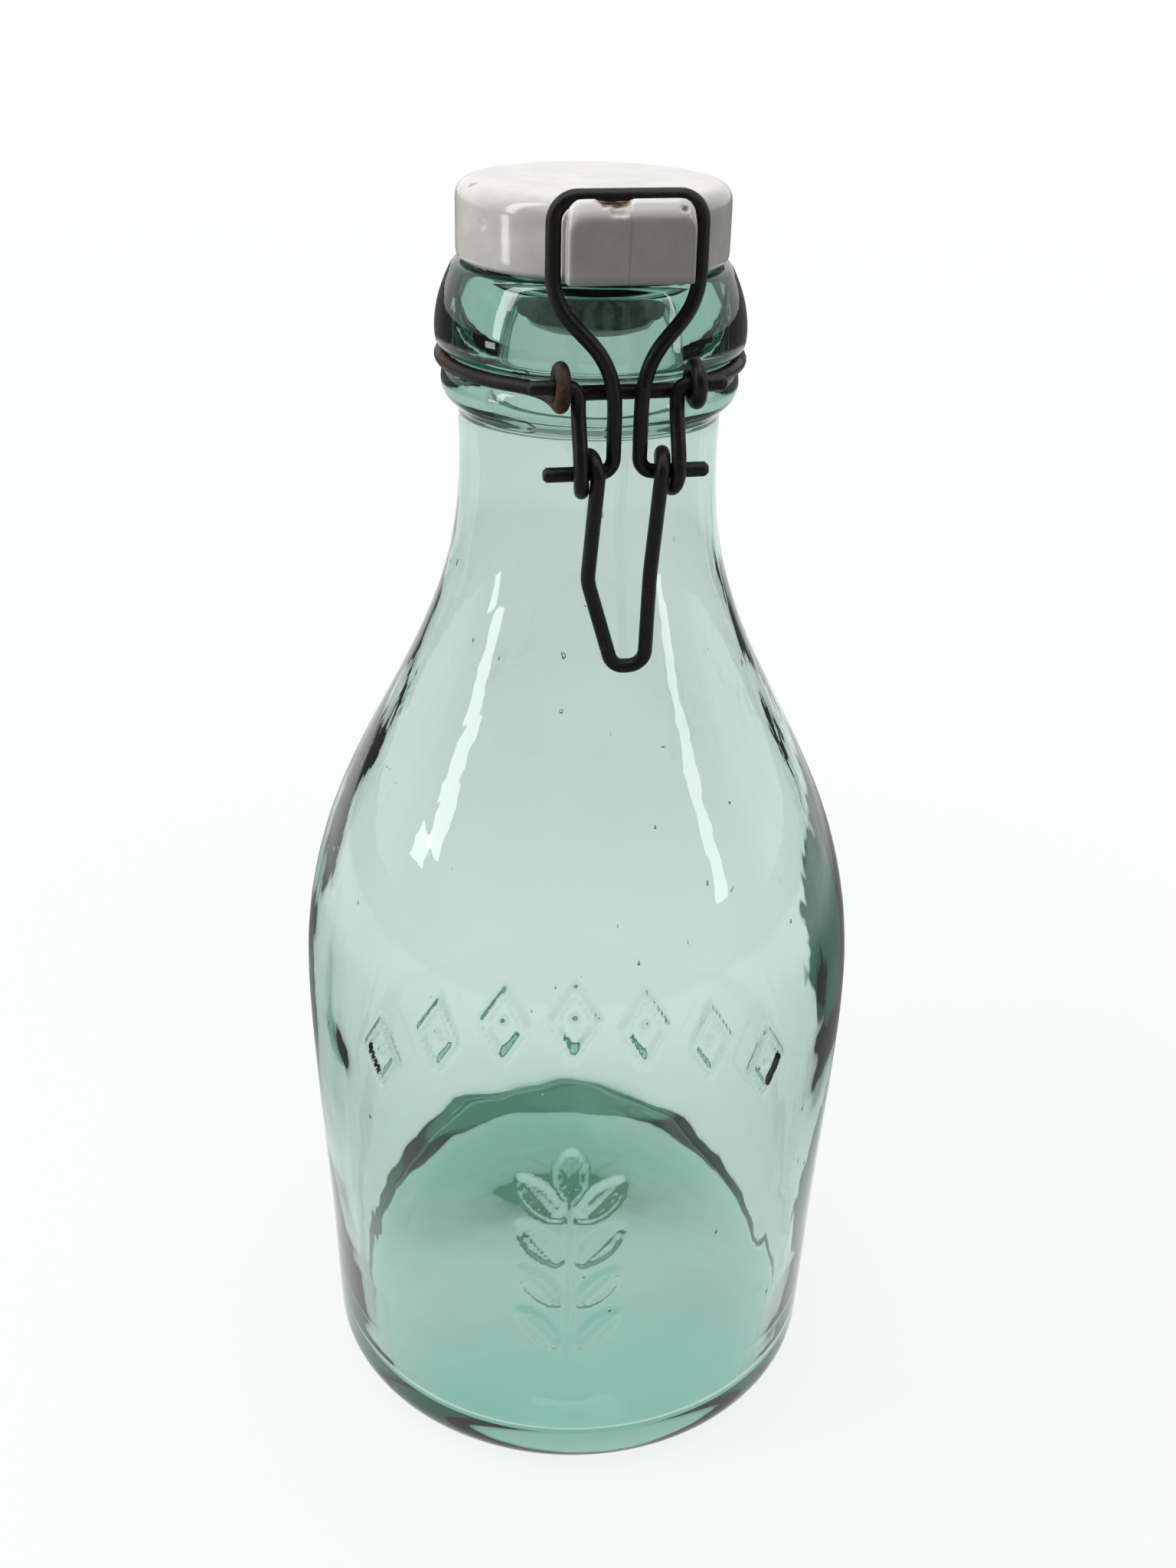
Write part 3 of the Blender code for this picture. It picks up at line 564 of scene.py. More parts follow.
# %% [markdown]
# ## The bottle
#
# Outside and inside are two turned surfaces that meet at the rim. The wall's outside copies the
# mould and is nearly true. The inside was formed by air, so it wanders by half a millimetre, and that
# is what bends the light into the streaks and dark flames that one sees through a real bottle. The
# rows and columns are close together only where the pattern is.

# %% Where the points of the bottle go
FINE, COARSE, BACK_STEP, FOOT_STEP = mm(0.68, 2.2, 2.75, 1.1)
BORE_STEP, FLOOR_STEP, FROM_LIP_Z = mm(0.7, 1.3, 196.0)
MARKS_LOW_Z, MARKS_HIGH_Z, HEEL_HIGH_Z = mm(26.0, 118.0, 30.0)
FINE_HALF_TURN, PATTERN_HALF_TURN = math.radians(47.0), math.radians(46.0)


def bottle_angles():
    """Angles of the columns: close together over the pattern, further apart elsewhere."""
    middle, around = PATTERN_TURN - math.pi / 2, 2 * math.pi
    fine = np.arange(middle - FINE_HALF_TURN, middle + FINE_HALF_TURN, FINE / BODY_R)
    count = round((around - 2 * FINE_HALF_TURN) * BODY_R / BACK_STEP)
    return np.r_[fine, np.linspace(fine[-1], fine[0] + around, count)[1:-1]]


def outside_spacing(radius, height):
    if height > FROM_LIP_Z or MARKS_LOW_Z < height < MARKS_HIGH_Z:
        return FINE
    return FOOT_STEP if height < MARKS_LOW_Z and radius > 12 * MM else COARSE


def inside_spacing(radius, height):
    if height > FROM_LIP_Z:
        return BORE_STEP
    return FLOOR_STEP if height < HEEL_HIGH_Z else COARSE


angles = bottle_angles()
print("bottle:", len(angles), "columns")

# %% Marks for the painted shade in the finish
# heights for the painted dark edges: a thin line in the lip left pale, where the lip's dark starts,
# and where the lower body's dark ends
BRIGHT_LINE_Z, DARK_LIP_Z, DARK_FOOT_Z = mm(223.6, 213.0, 140.0)
# runs of painted dark edges near the sides: turn and half turn in degrees, low and high height
DARK_EDGE_RUNS = (
    (71.0, 27.0, 84 * MM, 142 * MM), (82.0, 26.0, 18 * MM, 78 * MM),
    (-82.0, 16.0, 62 * MM, 112 * MM), (-80.0, 20.0, 14 * MM, 60 * MM),
)


def flank_shade_share(relief, height, turn, radius):
    """Painted shade, 0 to 1, on raised lines' flanks that one looks along: undersides, sides far out.
    """
    up = np.gradient(relief, axis=0) / np.maximum(np.gradient(height, axis=0), 0.1 * MM)
    along = np.gradient(relief, axis=1) / (np.gradient(np.unwrap(turn))[None, :] * radius)
    side = np.abs(along) * (np.abs(turn)[None, :] / math.radians(40)) ** 1.5
    return held(np.maximum(up, side) * 1.3 - 0.35)


def dark_edge_marks(turn, height):
    """Where painted dark edges go, from 0 to 1: low down, in the lip and in a few runs near the
    sides.
    """
    degrees = np.degrees(turn)
    total = 0.30 * held((DARK_FOOT_Z - height) / (20 * MM)) * np.ones_like(degrees)
    for middle, half_turn, low, high in DARK_EDGE_RUNS:
        across, along = (degrees - middle) / half_turn, (2 * height - low - high) / (high - low)
        total = np.maximum(total, np.sqrt(held(1.0 - across**2 - along**2)))
    lip = 1.0 - np.exp(-(((height - BRIGHT_LINE_Z) / (0.5 * MM)) ** 2))
    return np.maximum(total, 0.88 * lip * held((height - DARK_LIP_Z) / (1.5 * MM)))


# %% The skin of the bottle
SHRINK, SWELL, SKIN_WAVE = mm(0.31, 0.10, 0.03)
DRIFT, RIPPLE, FOLD, FLOOR_WAVE = mm(0.55, 0.16, 0.30, 0.5)


def shaped_outside(turn):
    """Rings of the outside with its swells and marks, and how much of each point is a flank for
    painted shade.
    """
    out = turned(thinned(eased(outside_line(), 0.15 * MM, 12), outside_spacing)[1:], angles)
    height, radius = out[:, :, 2], np.linalg.norm(out[:, :, :2], axis=2)
    wall = held((height - 12 * MM) / (20 * MM)) * held((200 * MM - height) / (20 * MM))
    swell = (-SHRINK - SWELL * waver(out, 28.0)) * wall
    swell -= SKIN_WAVE * (1.0 + waver(out, 160.0, 3.0)) * wall
    relief = pattern_height(turn[None, :] * radius, height, radius)
    relief *= (height > 25 * MM) & (np.abs(turn)[None, :] < PATTERN_HALF_TURN)
    out = pushed(out, swell + relief)
    # a flat underside would mirror the dark inside of the heel, so it is lifted a little in front
    under = soft_step((FOOT_R - radius) / (12 * MM)) * (height < PUSH_UP * 1.01)
    out[:, :, 2] += FRONT_LIFT * under * soft_step(-out[:, :, 1] / (40 * MM))
    return out, flank_shade_share(relief, height, turn, radius)


def shaped_inside(turn):
    """Rings of the inside, which drifts and runs in folds, down to a tilted and bowled floor."""
    inn = turned(thinned(eased(inside_line(), 0.15 * MM, 30), inside_spacing)[:-1], angles)
    height = inn[:, :, 2]
    free = held((202 * MM - height) / (20 * MM)) * np.clip((height - 12 * MM) / (40 * MM), 0.1, 1)
    calm = np.clip((height - 60 * MM) / (50 * MM), 0.1, 1.0)
    drift = DRIFT * waver(inn, 30.0, 7.0) + RIPPLE * waver(inn, 95.0, 9.0) * calm
    flow = FOLD * waver(inn * (1.0, 1.0, 0.22), 130.0, 5.0)
    flow *= held((height - 85 * MM) / (40 * MM) + np.sin(turn)[None, :] ** 4)
    inn = pushed(inn, (drift + flow) * free)
    heel, back = held(1.6 - (height - FLOOR_Z) / (18 * MM)), inn[:, :, 1] / FOOT_R
    lift = FLOOR_TILT * back + FLOOR_BOWL * back**2 + FLOOR_WAVE * waver(inn, 11.0, 12.0)
    inn[:, :, 2] += lift * heel
    return inn


def make_bottle_skin():
    turn = (angles - (PATTERN_TURN - math.pi / 2) + math.pi) % (2 * math.pi) - math.pi
    out, flank_shade = shaped_outside(turn)
    inn = shaped_inside(turn)
    dark_edge = dark_edge_marks(turn[None, :], out[:, :, 2])
    inner = np.zeros(inn[:, :, 0].size + 2)
    marks = {"flank_shade": np.r_[flank_shade.ravel(), inner], "dark_edge": np.r_[dark_edge.ravel(), inner]}
    rings = np.concatenate([out, inn])
    return skin(rings, (0.0, 0.0, PUSH_UP), (0.0, 0.0, FLOOR_Z + 0.4 * MM)), marks


bottle_skin, bottle_marks = make_bottle_skin()
bottle = add_piece("glass_bottle", *bottle_skin, glass)
for mark, values in bottle_marks.items():
    bottle.data.attributes.new(mark, "FLOAT", "POINT").data.foreach_set("value", values)
told(bottle)

# %% [markdown]
# ## Wires
#
# The neck ring, the lever and the bail are each one length of wire. The paths repeat the CAD's, so
# every eye goes round its pin where the joints expect it. Geometry Nodes sweeps a round section along
# the path, eases the two cut ends, and pits the surface with noise along its normals.

# %% Wire sizes
LEVER_WIRE, BAIL_WIRE, WIRE_BEND, PIN_GAP, GAP = mm(2.5, 2.5, 1.9, 0.35, 0.3)
RING_GRIP = (-50.0, 30.0)
EYE_HALF, EYE_SHIFT, EYE_Y, EYE_Z, EYE_LEAVES = 10.9 * MM, 0.3 * MM, -28.9 * MM, 214.8 * MM, 96.0
LEVER_TIP, ARM_HALF, HANDLE_HALF = mm(16.0, 8.0, 5.2)
RIGHT_KINK, LEFT_KINK = (4.1 * MM, 184.2 * MM), (-6.4 * MM, 183.5 * MM)
LOOP_RIGHT, LOOP_LEFT, LOOP_LOW_Z, LOOP_OUT = mm(3.9, -1.65, 167.7, 1.4)
LOOP_ROUND, KINK_ROUND = mm(2.7, 7.0)
BAIL_PIN_Y, BAIL_PIN_Z, BAIL_TIP, BAIL_PIN_BEND = mm(-29.2, 200.9, 13.6, 2.3)
BAIL_HALF, BAR_Y, BAR_Z, BAIL_CORNER = mm(11.6, -27.6, 243.12, 3.7)
LEGS_HALF, LEGS_PART_Z, LEGS_SPREAD_Z, BAIL_LEAN = mm(2.15, 210.6, 232.15, 0.5)
SPREAD_LOW_PULL, SPREAD_HIGH_PULL = mm(13.4, 10.4)
HINGE_Y, HINGE_Z, RISER_HALF, RISER_Z = mm(27.5, 235.0, 11.6, 217.5)
HINGE_TIP = 0.7 * MM

# %% Bends


def bridge(start, start_way, start_pull, end, end_way, end_pull):
    """A smooth run of points that leaves the start one way and arrives at the end another way."""
    a, d = Vector(start), Vector(end)
    b = a + Vector(start_way).normalized() * start_pull
    c = d - Vector(end_way).normalized() * end_pull
    return [tuple(a)] + curve(a, b, c, d, max(3, round((d - a).length / (1.2 * MM))))


def eye_turn(x_start, x_end, y, z, radius, start, sweep, steps):
    """One turn of wire about an axis along X. Angles in degrees: 0 faces -Y and 90 faces down."""
    shares = np.linspace(0.0, 1.0, steps + 1)
    turns = [(t, math.radians(start + sweep * t)) for t in shares]
    return [(x_start + (x_end - x_start) * t, y - radius * math.cos(a), z - radius * math.sin(a))
            for t, a in turns]


def corner(centre, radius, start, end, steps, plane):
    """Points of a round bend. plane names the two axes that it bends in, as in 'xz'."""
    first, second = ("xyz".index(letter) for letter in plane)
    found = []
    for point in arc((centre[first], centre[second]), radius, start, end, steps):
        found.append(list(centre))
        found[-1][first], found[-1][second] = point
    return found


def rounded_run(corners, radii):
    """Straight runs between corners, each corner bent to its radius."""
    path = [tuple(corners[0])]
    for before, at, after, radius in zip(corners, corners[1:], corners[2:], radii):
        at = Vector(at)
        back = (Vector(before) - at).normalized()
        onward = (Vector(after) - at).normalized()
        half = back.angle(onward) / 2
        centre = at + (back + onward).normalized() * radius / math.sin(half)
        first = (at + back * radius / math.tan(half) - centre).normalized()
        last = (at + onward * radius / math.tan(half) - centre).normalized()
        steps = max(3, round((math.pi - 2 * half) / math.radians(9)))
        path += [tuple(centre + first.slerp(last, k / steps) * radius) for k in range(steps + 1)]
    return path + [tuple(corners[-1])]


# %% The path of each wire


def mirrored(points):
    return [(-x, y, z) for x, y, z in reversed(points)]


def ring_path():
    """The neck ring from one hinge pin, round the neck and through both eyes, to the other pin."""
    turn = LEVER_WIRE / 2 + PIN_GAP + RING_WIRE / 2
    inner_x, outer_x = EYE_HALF - EYE_SHIFT / 2, EYE_HALF + EYE_SHIFT / 2
    back_y = EYE_Y + turn
    half = [(0.0, back_y, RING_Z)]
    half += corner((inner_x - WIRE_BEND, back_y, RING_Z + WIRE_BEND), WIRE_BEND, -90, 0, 9, "xz")
    start = 180 + math.degrees((RING_Z + WIRE_BEND - EYE_Z) / turn)
    half += eye_turn(inner_x, outer_x, EYE_Y, EYE_Z, turn, start, 360 + EYE_LEAVES - start, 30)[1:]
    grip = corner((0.0, 0.0, RING_Z), RING_R, *RING_GRIP, 22, "xy")
    leaving = Vector(half[-1]) - Vector(half[-2])
    arriving = Vector(grip[1]) - Vector(grip[0])
    half += bridge(half[-1], leaving, 1.6 * turn, grip[0], arriving, 2 * turn)[1:] + grip[1:]
    leaving = Vector(grip[-1]) - Vector(grip[-2])
    foot = (RISER_HALF, HINGE_Y, RISER_Z)
    half += bridge(grip[-1], leaving, 0.46 * RING_R, foot, (0, 0, 1), RISER_Z - RING_Z)[1:]
    top = (RISER_HALF - WIRE_BEND, HINGE_Y, HINGE_Z - WIRE_BEND)
    half += corner(top, WIRE_BEND, 0, 90, 9, "xz") + [(HINGE_TIP, HINGE_Y, HINGE_Z)]
    return mirrored(half)[:-1] + half


def lever_path():
    """The lever: pin, arm, eye, handle loop, and the same again on the other side."""
    turn = BAIL_WIRE / 2 + PIN_GAP + LEVER_WIRE / 2
    down = (0, 0, -1)
    side = [(LEVER_TIP, EYE_Y, EYE_Z)]
    side += corner((ARM_HALF + WIRE_BEND, EYE_Y, EYE_Z - WIRE_BEND), WIRE_BEND, 90, 180, 9, "xz")
    eye = eye_turn(ARM_HALF, HANDLE_HALF, BAIL_PIN_Y, BAIL_PIN_Z, turn, 0, 360, 36)
    side += bridge(side[-1], down, 1.6 * turn, eye[0], down, 1.6 * turn)[1:] + eye[1:]
    other, top_y = mirrored(side), side[-1][1]

    def on_handle(x, z):
        lean = BAIL_PIN_Y - LOOP_OUT - top_y
        return (x, top_y + lean * (BAIL_PIN_Z - z) / (BAIL_PIN_Z - LOOP_LOW_Z), z)

    corners = [side[-1], on_handle(*RIGHT_KINK), on_handle(LOOP_RIGHT, LOOP_LOW_Z)]
    corners += [on_handle(LOOP_LEFT, LOOP_LOW_Z), on_handle(*LEFT_KINK), other[0]]
    handle = rounded_run(corners, (KINK_ROUND, LOOP_ROUND, LOOP_ROUND, KINK_ROUND))
    return side + handle[1:-1] + other


def bail_path():
    """The bail: pin, leg, spread, top bar, and the same again on the other side."""
    upward = (0, 0, 1)
    half = [(BAIL_TIP, BAIL_PIN_Y, BAIL_PIN_Z)]
    pin_end = (LEGS_HALF + BAIL_PIN_BEND, BAIL_PIN_Y, BAIL_PIN_Z + BAIL_PIN_BEND)
    half += corner(pin_end, BAIL_PIN_BEND, -90, -180, 9, "xz")
    low, high = (LEGS_HALF, BAIL_PIN_Y, LEGS_PART_Z), (BAIL_HALF, BAR_Y, LEGS_SPREAD_Z)
    half += bridge(low, upward, SPREAD_LOW_PULL, high, upward, SPREAD_HIGH_PULL)
    top = (BAIL_HALF - BAIL_CORNER, BAR_Y, BAR_Z - BAIL_CORNER)
    half += corner(top, BAIL_CORNER, 0, 90, 9, "xz") + [(0.0, BAR_Y, BAR_Z)]
    path = []
    for x, y, z in half[:-1] + mirrored(half):
        share = min(max((z - LEGS_PART_Z) / (LEGS_SPREAD_Z - LEGS_PART_Z), 0.0), 1.0)
        path.append((x - BAIL_LEAN * share * share * (3.0 - 2.0 * share), y, z))
    return path


# %% The start and the end of every tree
SIDES_OF_WIRE, STEP_OF_WIRE, PITTING = 18, 0.55 * MM, 0.07 * MM


def new_tree(name, takes, inputs, gives):
    """A Geometry Nodes tree with named inputs, and the sockets that carry them."""
    tree = bpy.data.node_groups.new(name, "GeometryNodeTree")
    face = tree.interface
    face.new_socket(takes, in_out="INPUT", socket_type="NodeSocketGeometry")
    for label, kind, value in inputs:
        socket = face.new_socket(label, in_out="INPUT", socket_type="NodeSocket" + kind)
        if value is not None:
            socket.default_value = value
    face.new_socket(gives, in_out="OUTPUT", socket_type="NodeSocketGeometry")
    return tree, put(tree, "NodeGroupInput")


def ended(tree, shape, look, gives):
    """Ends a tree: soft shading, copies made real, then the finish."""
    smooth = put(tree, "GeometryNodeSetShadeSmooth", {"Geometry": shape})[0]
    real = put(tree, "GeometryNodeRealizeInstances", {"Geometry": smooth})[0]
    done = put(tree, "GeometryNodeSetMaterial", {"Geometry": real, "Material": look})[0]
    put(tree, "NodeGroupOutput", {gives: done})
    return tree


# %% The wire's tree


def make_wire_tree():
    """A path of edges becomes a pitted round wire with eased ends."""
    tree, given = new_tree("drawn_wire", "Path", (
        ("Thickness", "Float", LEVER_WIRE), ("Step", "Float", STEP_OF_WIRE),
        ("Sides", "Int", SIDES_OF_WIRE), ("Pitting", "Float", PITTING), ("Seed", "Float", 1.0),
        ("Finish", "Material", None),
    ), "Wire")
    line = put(tree, "GeometryNodeMeshToCurve", {"Mesh": given["Path"]})[0]
    even = put(tree, "GeometryNodeResampleCurve", {"Curve": line, "Length": given["Step"]},
               mode="LENGTH")[0]
    along = put(tree, "GeometryNodeSplineParameter")["Length"]
    total = put(tree, "GeometryNodeSplineLength")["Length"]
    to_end = maths(tree, "MINIMUM", along, maths(tree, "SUBTRACT", total, along))
    ease = maths(tree, "DIVIDE", to_end, times(tree, given["Thickness"], 0.3))
    ease = put(tree, "ShaderNodeClamp", {"Value": ease})[0]
    inner = maths(tree, "SUBTRACT", 1.0, ease)
    bulge = maths(tree, "SQRT", maths(tree, "SUBTRACT", 1.0, times(tree, inner, inner)))
    end_scale = maths(tree, "MULTIPLY_ADD", bulge, 0.4, 0.6)
    half = maths(tree, "DIVIDE", given["Thickness"], 2.0)
    ring = put(tree, "GeometryNodeCurvePrimitiveCircle",
               {"Resolution": given["Sides"], "Radius": half})[0]
    swept = put(tree, "GeometryNodeCurveToMesh", {
        "Curve": even, "Profile Curve": ring, "Scale": end_scale, "Fill Caps": True})[0]
    pits, dents = (
        put(tree, "ShaderNodeTexNoise", {"W": given["Seed"], "Scale": scale, "Detail": detail},
            noise_dimensions="4D")[0]
        for scale, detail in ((900.0, 3.0), (160.0, 1.0)))
    both = maths(tree, "ADD", pits, dents)
    depth = times(tree, maths(tree, "SUBTRACT", both, 1.5), given["Pitting"])
    normal = put(tree, "GeometryNodeInputNormal")[0]
    offset = put(tree, "ShaderNodeVectorMath", {0: normal, "Scale": depth}, operation="SCALE")[0]
    moved = put(tree, "GeometryNodeSetPosition", {"Geometry": swept, "Offset": offset})[0]
    return ended(tree, moved, given["Finish"], "Wire")


# %% From a path to a piece of wire


def modified(thing, tree, **values):
    """Adds a Geometry Nodes modifier, with its inputs set by the socket's identifier."""
    made = thing.modifiers.new(tree.name, "NODES")
    made.node_group = tree
    known = {s.name: s.identifier for s in tree.interface.items_tree
             if s.item_type == "SOCKET" and s.in_out == "INPUT"}
    for label, value in values.items():
        made[known[label]] = value
    return thing


def make_wire(name, path, thickness, look, seed):
    steps = [(k, k + 1) for k in range(len(path) - 1)]
    guide = add_piece(name + "_path", [tuple(p) for p in path], [], edges=steps)
    modified(guide, wire_tree, Thickness=thickness, Step=STEP_OF_WIRE, Sides=SIDES_OF_WIRE,
             Pitting=PITTING, Seed=seed, Finish=look)
    piece = plain_mesh(guide, name, look)
    told(piece)
    return piece


wire_tree = make_wire_tree()
print("wire tree:", len(wire_tree.nodes), "nodes")

# %% [markdown]
# ## Wire finish
#
# The wire is bare iron that has gone nearly black, with brown rust in the pits. The colour is mixed
# by two noises, one for broad patches and one for grains, and rust is rougher and less metallic than
# the dark skin beside it.

# %% Finish and make the three wires


def make_iron(name, rust_share):
    """Dark oxidised wire. rust_share is how much of it has gone brown, from 0 to 1."""
    look, tree, shader, where = finish(name)
    patch = cloud(tree, where, 130.0, 3.0, 0.6)
    grain = cloud(tree, where, 1500.0, 4.0, 0.65)
    mixed = maths(tree, "MULTIPLY_ADD", grain, 0.45, patch)
    rust = ramp(tree, mixed, 0.92 - 0.34 * rust_share, 1.05 - 0.2 * rust_share)
    black = blend(tree, grain, (0.002, 0.002, 0.002), (0.016, 0.013, 0.011))
    brown = blend(tree, grain, (0.045, 0.020, 0.011), (0.15, 0.07, 0.038))
    into(tree, shader, Base_Color=blend(tree, rust, black, brown),
         Metallic=ramp(tree, rust, 0.0, 1.0, 0.15, 0.05), Specular_IOR_Level=0.30,
         Roughness=ramp(tree, maths(tree, "ADD", rust, grain), 0.2, 1.4, 0.34, 0.78),
         Normal=bumped(tree, grain, 0.09 * MM, 0.9))
    return look


dark_iron = make_iron("dark_iron", 0.20)
rusty_iron = make_iron("rusty_iron", 0.75)
neck_ring = make_wire("neck_wire", ring_path(), RING_WIRE, rusty_iron, 1.0)
lever = make_wire("lever_wire", lever_path(), LEVER_WIRE, dark_iron, 2.0)
bail = make_wire("bail_wire", bail_path(), BAIL_WIRE, dark_iron, 3.0)

# %% [markdown]
# ## The stopper
#
# The stopper is pressed porcelain: a lid, a plug below it, a front lug with a groove for the bail and
# a rear lug with the hinge hole. Glaze runs, so no inner corner is sharp and every edge is soft.
# Joining the solids with booleans and then remeshing them at a fine voxel size gives one skin, and a
# few rounds of smoothing leave just the fillets that the glaze would.

# %% Stopper sizes
LID_R, LID_LOW_Z, LID_TOP_Z = mm(23.0, 229.2, 241.8)
LID_TOP_ROUND, LID_LOW_ROUND = mm(2.8, 1.2)
PLUG_R, PLUG_FOOT_R, PLUG_FOOT_H = mm(11.6, 12.5, 1.1)
PLUG_LOW_Z, PLUG_ROUND = mm(217.9, 0.5)
LUG_HALF, LUG_FACE_Y, LUG_LOW_Z, LUG_FLOOR_Z = mm(10.0, 31.5, 230.6, 241.6)
LUG_ASIDE = 0.5 * MM
RIDGE_TOP_Z, RIDGE_FALL, LUG_SHOULDER = mm(243.4, 2.9, 2.5)
REAR_HALF, REAR_FACE_Y, REAR_TOP_Z, LUG_ROOT = mm(8.7, 31.3, 240.4, 5.0)
VOXEL = 0.36 * MM

# %% Outlines of the lid and its lugs


def stopper_line():
    foot_top = PLUG_LOW_Z + PLUG_FOOT_H
    line = [(0.0, PLUG_LOW_Z)]
    line += arc((PLUG_FOOT_R - PLUG_ROUND, PLUG_LOW_Z + PLUG_ROUND), PLUG_ROUND, -90, 0, 4)
    line += [(PLUG_FOOT_R, foot_top), (PLUG_R, foot_top), (PLUG_R, LID_LOW_Z)]
    line += arc((LID_R - LID_LOW_ROUND, LID_LOW_Z + LID_LOW_ROUND), LID_LOW_ROUND, -90, 0, 6)
    line += arc((LID_R - LID_TOP_ROUND, LID_TOP_Z - LID_TOP_ROUND), LID_TOP_ROUND, 0, 90, 10)
    return np.array(line + [(0.0, LID_TOP_Z)])


def front_outline():
    face, wall, root = -LUG_FACE_Y, BAR_Y - BAIL_WIRE / 2 - GAP, -LID_R + LUG_ROOT
    return [
        (root, LUG_LOW_Z), (face, LUG_LOW_Z), (face, RIDGE_TOP_Z - RIDGE_FALL),
        (face + 0.5 * MM, RIDGE_TOP_Z - RIDGE_FALL * 0.64),
        (face + 1.2 * MM, RIDGE_TOP_Z - RIDGE_FALL * 0.28),
        (face + 1.8 * MM, RIDGE_TOP_Z - RIDGE_FALL * 0.06), (wall - 0.15 * MM, RIDGE_TOP_Z),
        (wall, RIDGE_TOP_Z - 0.3 * MM), (wall, LUG_FLOOR_Z), (root, LUG_FLOOR_Z),
    ]


def rear_outline():
    root = LID_R - LUG_ROOT
    return [
        (root, REAR_TOP_Z), (REAR_FACE_Y - 2.6 * MM, REAR_TOP_Z),
        (REAR_FACE_Y - 0.8 * MM, REAR_TOP_Z - 0.9 * MM), (REAR_FACE_Y, REAR_TOP_Z - 2.6 * MM),
        (REAR_FACE_Y, LUG_LOW_Z + 1.6 * MM), (REAR_FACE_Y - 1.6 * MM, LUG_LOW_Z),
        (root, LUG_LOW_Z),
    ]


# %% A lug as a solid


def lug(name, outline, half_width):
    """A solid with a (Y, Z) outline, drawn out along X, its top rounded down at both sides."""
    middle = (min(z for y, z in outline) + max(z for y, z in outline)) / 2
    stations = [(half_width - LUG_SHOULDER * (1 - math.sin(a)), LUG_SHOULDER * (1 - math.cos(a)))
                for a in np.radians(np.linspace(0, 90, 7))]
    points, faces, count = [], [], len(outline)
    for x, drop in [(-x, drop) for x, drop in reversed(stations)] + stations:
        points += [(x, y, z - drop if z > middle else z) for y, z in outline]
    for low in range(0, len(points) - count, count):
        for k in range(count):
            n = (k + 1) % count
            faces.append((low + k, low + count + k, low + count + n, low + n))
    faces += [tuple(range(count)), tuple(reversed(range(len(points) - count, len(points))))]
    made = add_piece(name, points, faces)
    bm = bmesh.new()
    bm.from_mesh(made.data)
    bmesh.ops.recalc_face_normals(bm, faces=bm.faces)
    bm.to_mesh(made.data)
    bm.free()
    return made


# %% The stopper in one skin


def joined(thing, other, operation):
    cut = thing.modifiers.new(operation, "BOOLEAN")
    cut.operation, cut.solver, cut.object = operation, "EXACT", other


def make_stopper_body():
    line = stopper_line()
    body = add_piece("stopper_body_guide", *skin(
        turned(line[1:-1], around(128)), (0, 0, PLUG_LOW_Z), (0, 0, LID_TOP_Z)))
    front = lug("front_lug_guide", front_outline(), LUG_HALF)
    front.data.transform(Matrix.Translation((-LUG_ASIDE, 0.0, 0.0)))
    rear = lug("rear_lug_guide", rear_outline(), REAR_HALF)
    hole_r, reach = RING_WIRE / 2 + PIN_GAP, LUG_HALF * 1.5
    hole = add_piece("hinge_hole_guide", *skin(
        turned(np.array([(hole_r, -reach), (hole_r, reach)]), around(40)),
        (0, 0, -reach), (0, 0, reach)))
    place = Matrix.Translation((0, HINGE_Y, HINGE_Z)) @ Matrix.Rotation(math.pi / 2, 4, "Y")
    hole.data.transform(place)
    joined(body, front, "UNION")
    joined(body, rear, "UNION")
    joined(body, hole, "DIFFERENCE")
    remesh = body.modifiers.new("Glaze skin", "REMESH")
    remesh.mode, remesh.voxel_size = "VOXEL", VOXEL
    settle = body.modifiers.new("Settle", "SMOOTH")
    settle.factor, settle.iterations = 0.5, 7
    made = plain_mesh(body, "porcelain_stopper")
    for guide in (front, rear, hole):
        bpy.data.objects.remove(guide, do_unlink=True)
    return made


# %% [markdown]
# A chip has left the lug's ridge rough and brown in the middle, and small dents mark the lid. They
# are moved into the mesh as shallow uneven hollows, and a colour attribute remembers where the bare,
# stained clay shows, so that the finish follows the damage.

# %% Chips in the glaze
CHIPS = (
    ((-3.3, -30.1, 243.3), (3.0, 1.5, 1.1), 0.60, 1.0),
    ((-2.7, -31.0, 242.0), (1.7, 0.9, 1.5), 0.40, 0.45),
    ((-20.6, -3.6, 241.3), (0.9, 0.9, 0.8), 0.30, 0.7),
    ((7.4, -30.9, 241.8), (0.5, 0.5, 0.5), 0.22, 1.0),
    ((-19.9, -10.6, 236.6), (1.2, 1.2, 0.7), 0.22, 0.0),
)


def chip_stopper(piece):
    """Each chip is a centre, a size and a depth in mm, and the share of its clay that is stained."""
    mesh = piece.data
    points, normals = (np.empty(len(mesh.vertices) * 3, np.float32) for _ in range(2))
    mesh.vertices.foreach_get("co", points)
    mesh.vertices.foreach_get("normal", normals)
    points, normals = points.reshape(-1, 3).astype(float), normals.reshape(-1, 3)
    push = 0.05 * MM * waver(points, 120.0, 2.0) - 0.05 * MM
    bare = np.zeros(len(points))
    for centre, size, depth, stain in CHIPS:
        reach = np.linalg.norm((points - np.array(centre) * MM) / (np.array(size) * MM), axis=1)
        near = reach < 2.0
        reach[near] += 0.35 * waver(points[near], 900.0, 4.0)
        share = held(1.15 - reach)
        push -= depth * MM * np.minimum(share * 2.2, 1.0)
        bare = np.maximum(bare, stain * np.minimum(share * 3.0, 1.0))
    points += normals * push[:, None]
    mesh.vertices.foreach_set("co", points.astype(np.float32).ravel())
    layer = mesh.attributes.new("bare_clay", "FLOAT", "POINT")
    layer.data.foreach_set("value", bare.astype(np.float32))
    mesh.update()
    mesh.shade_smooth()


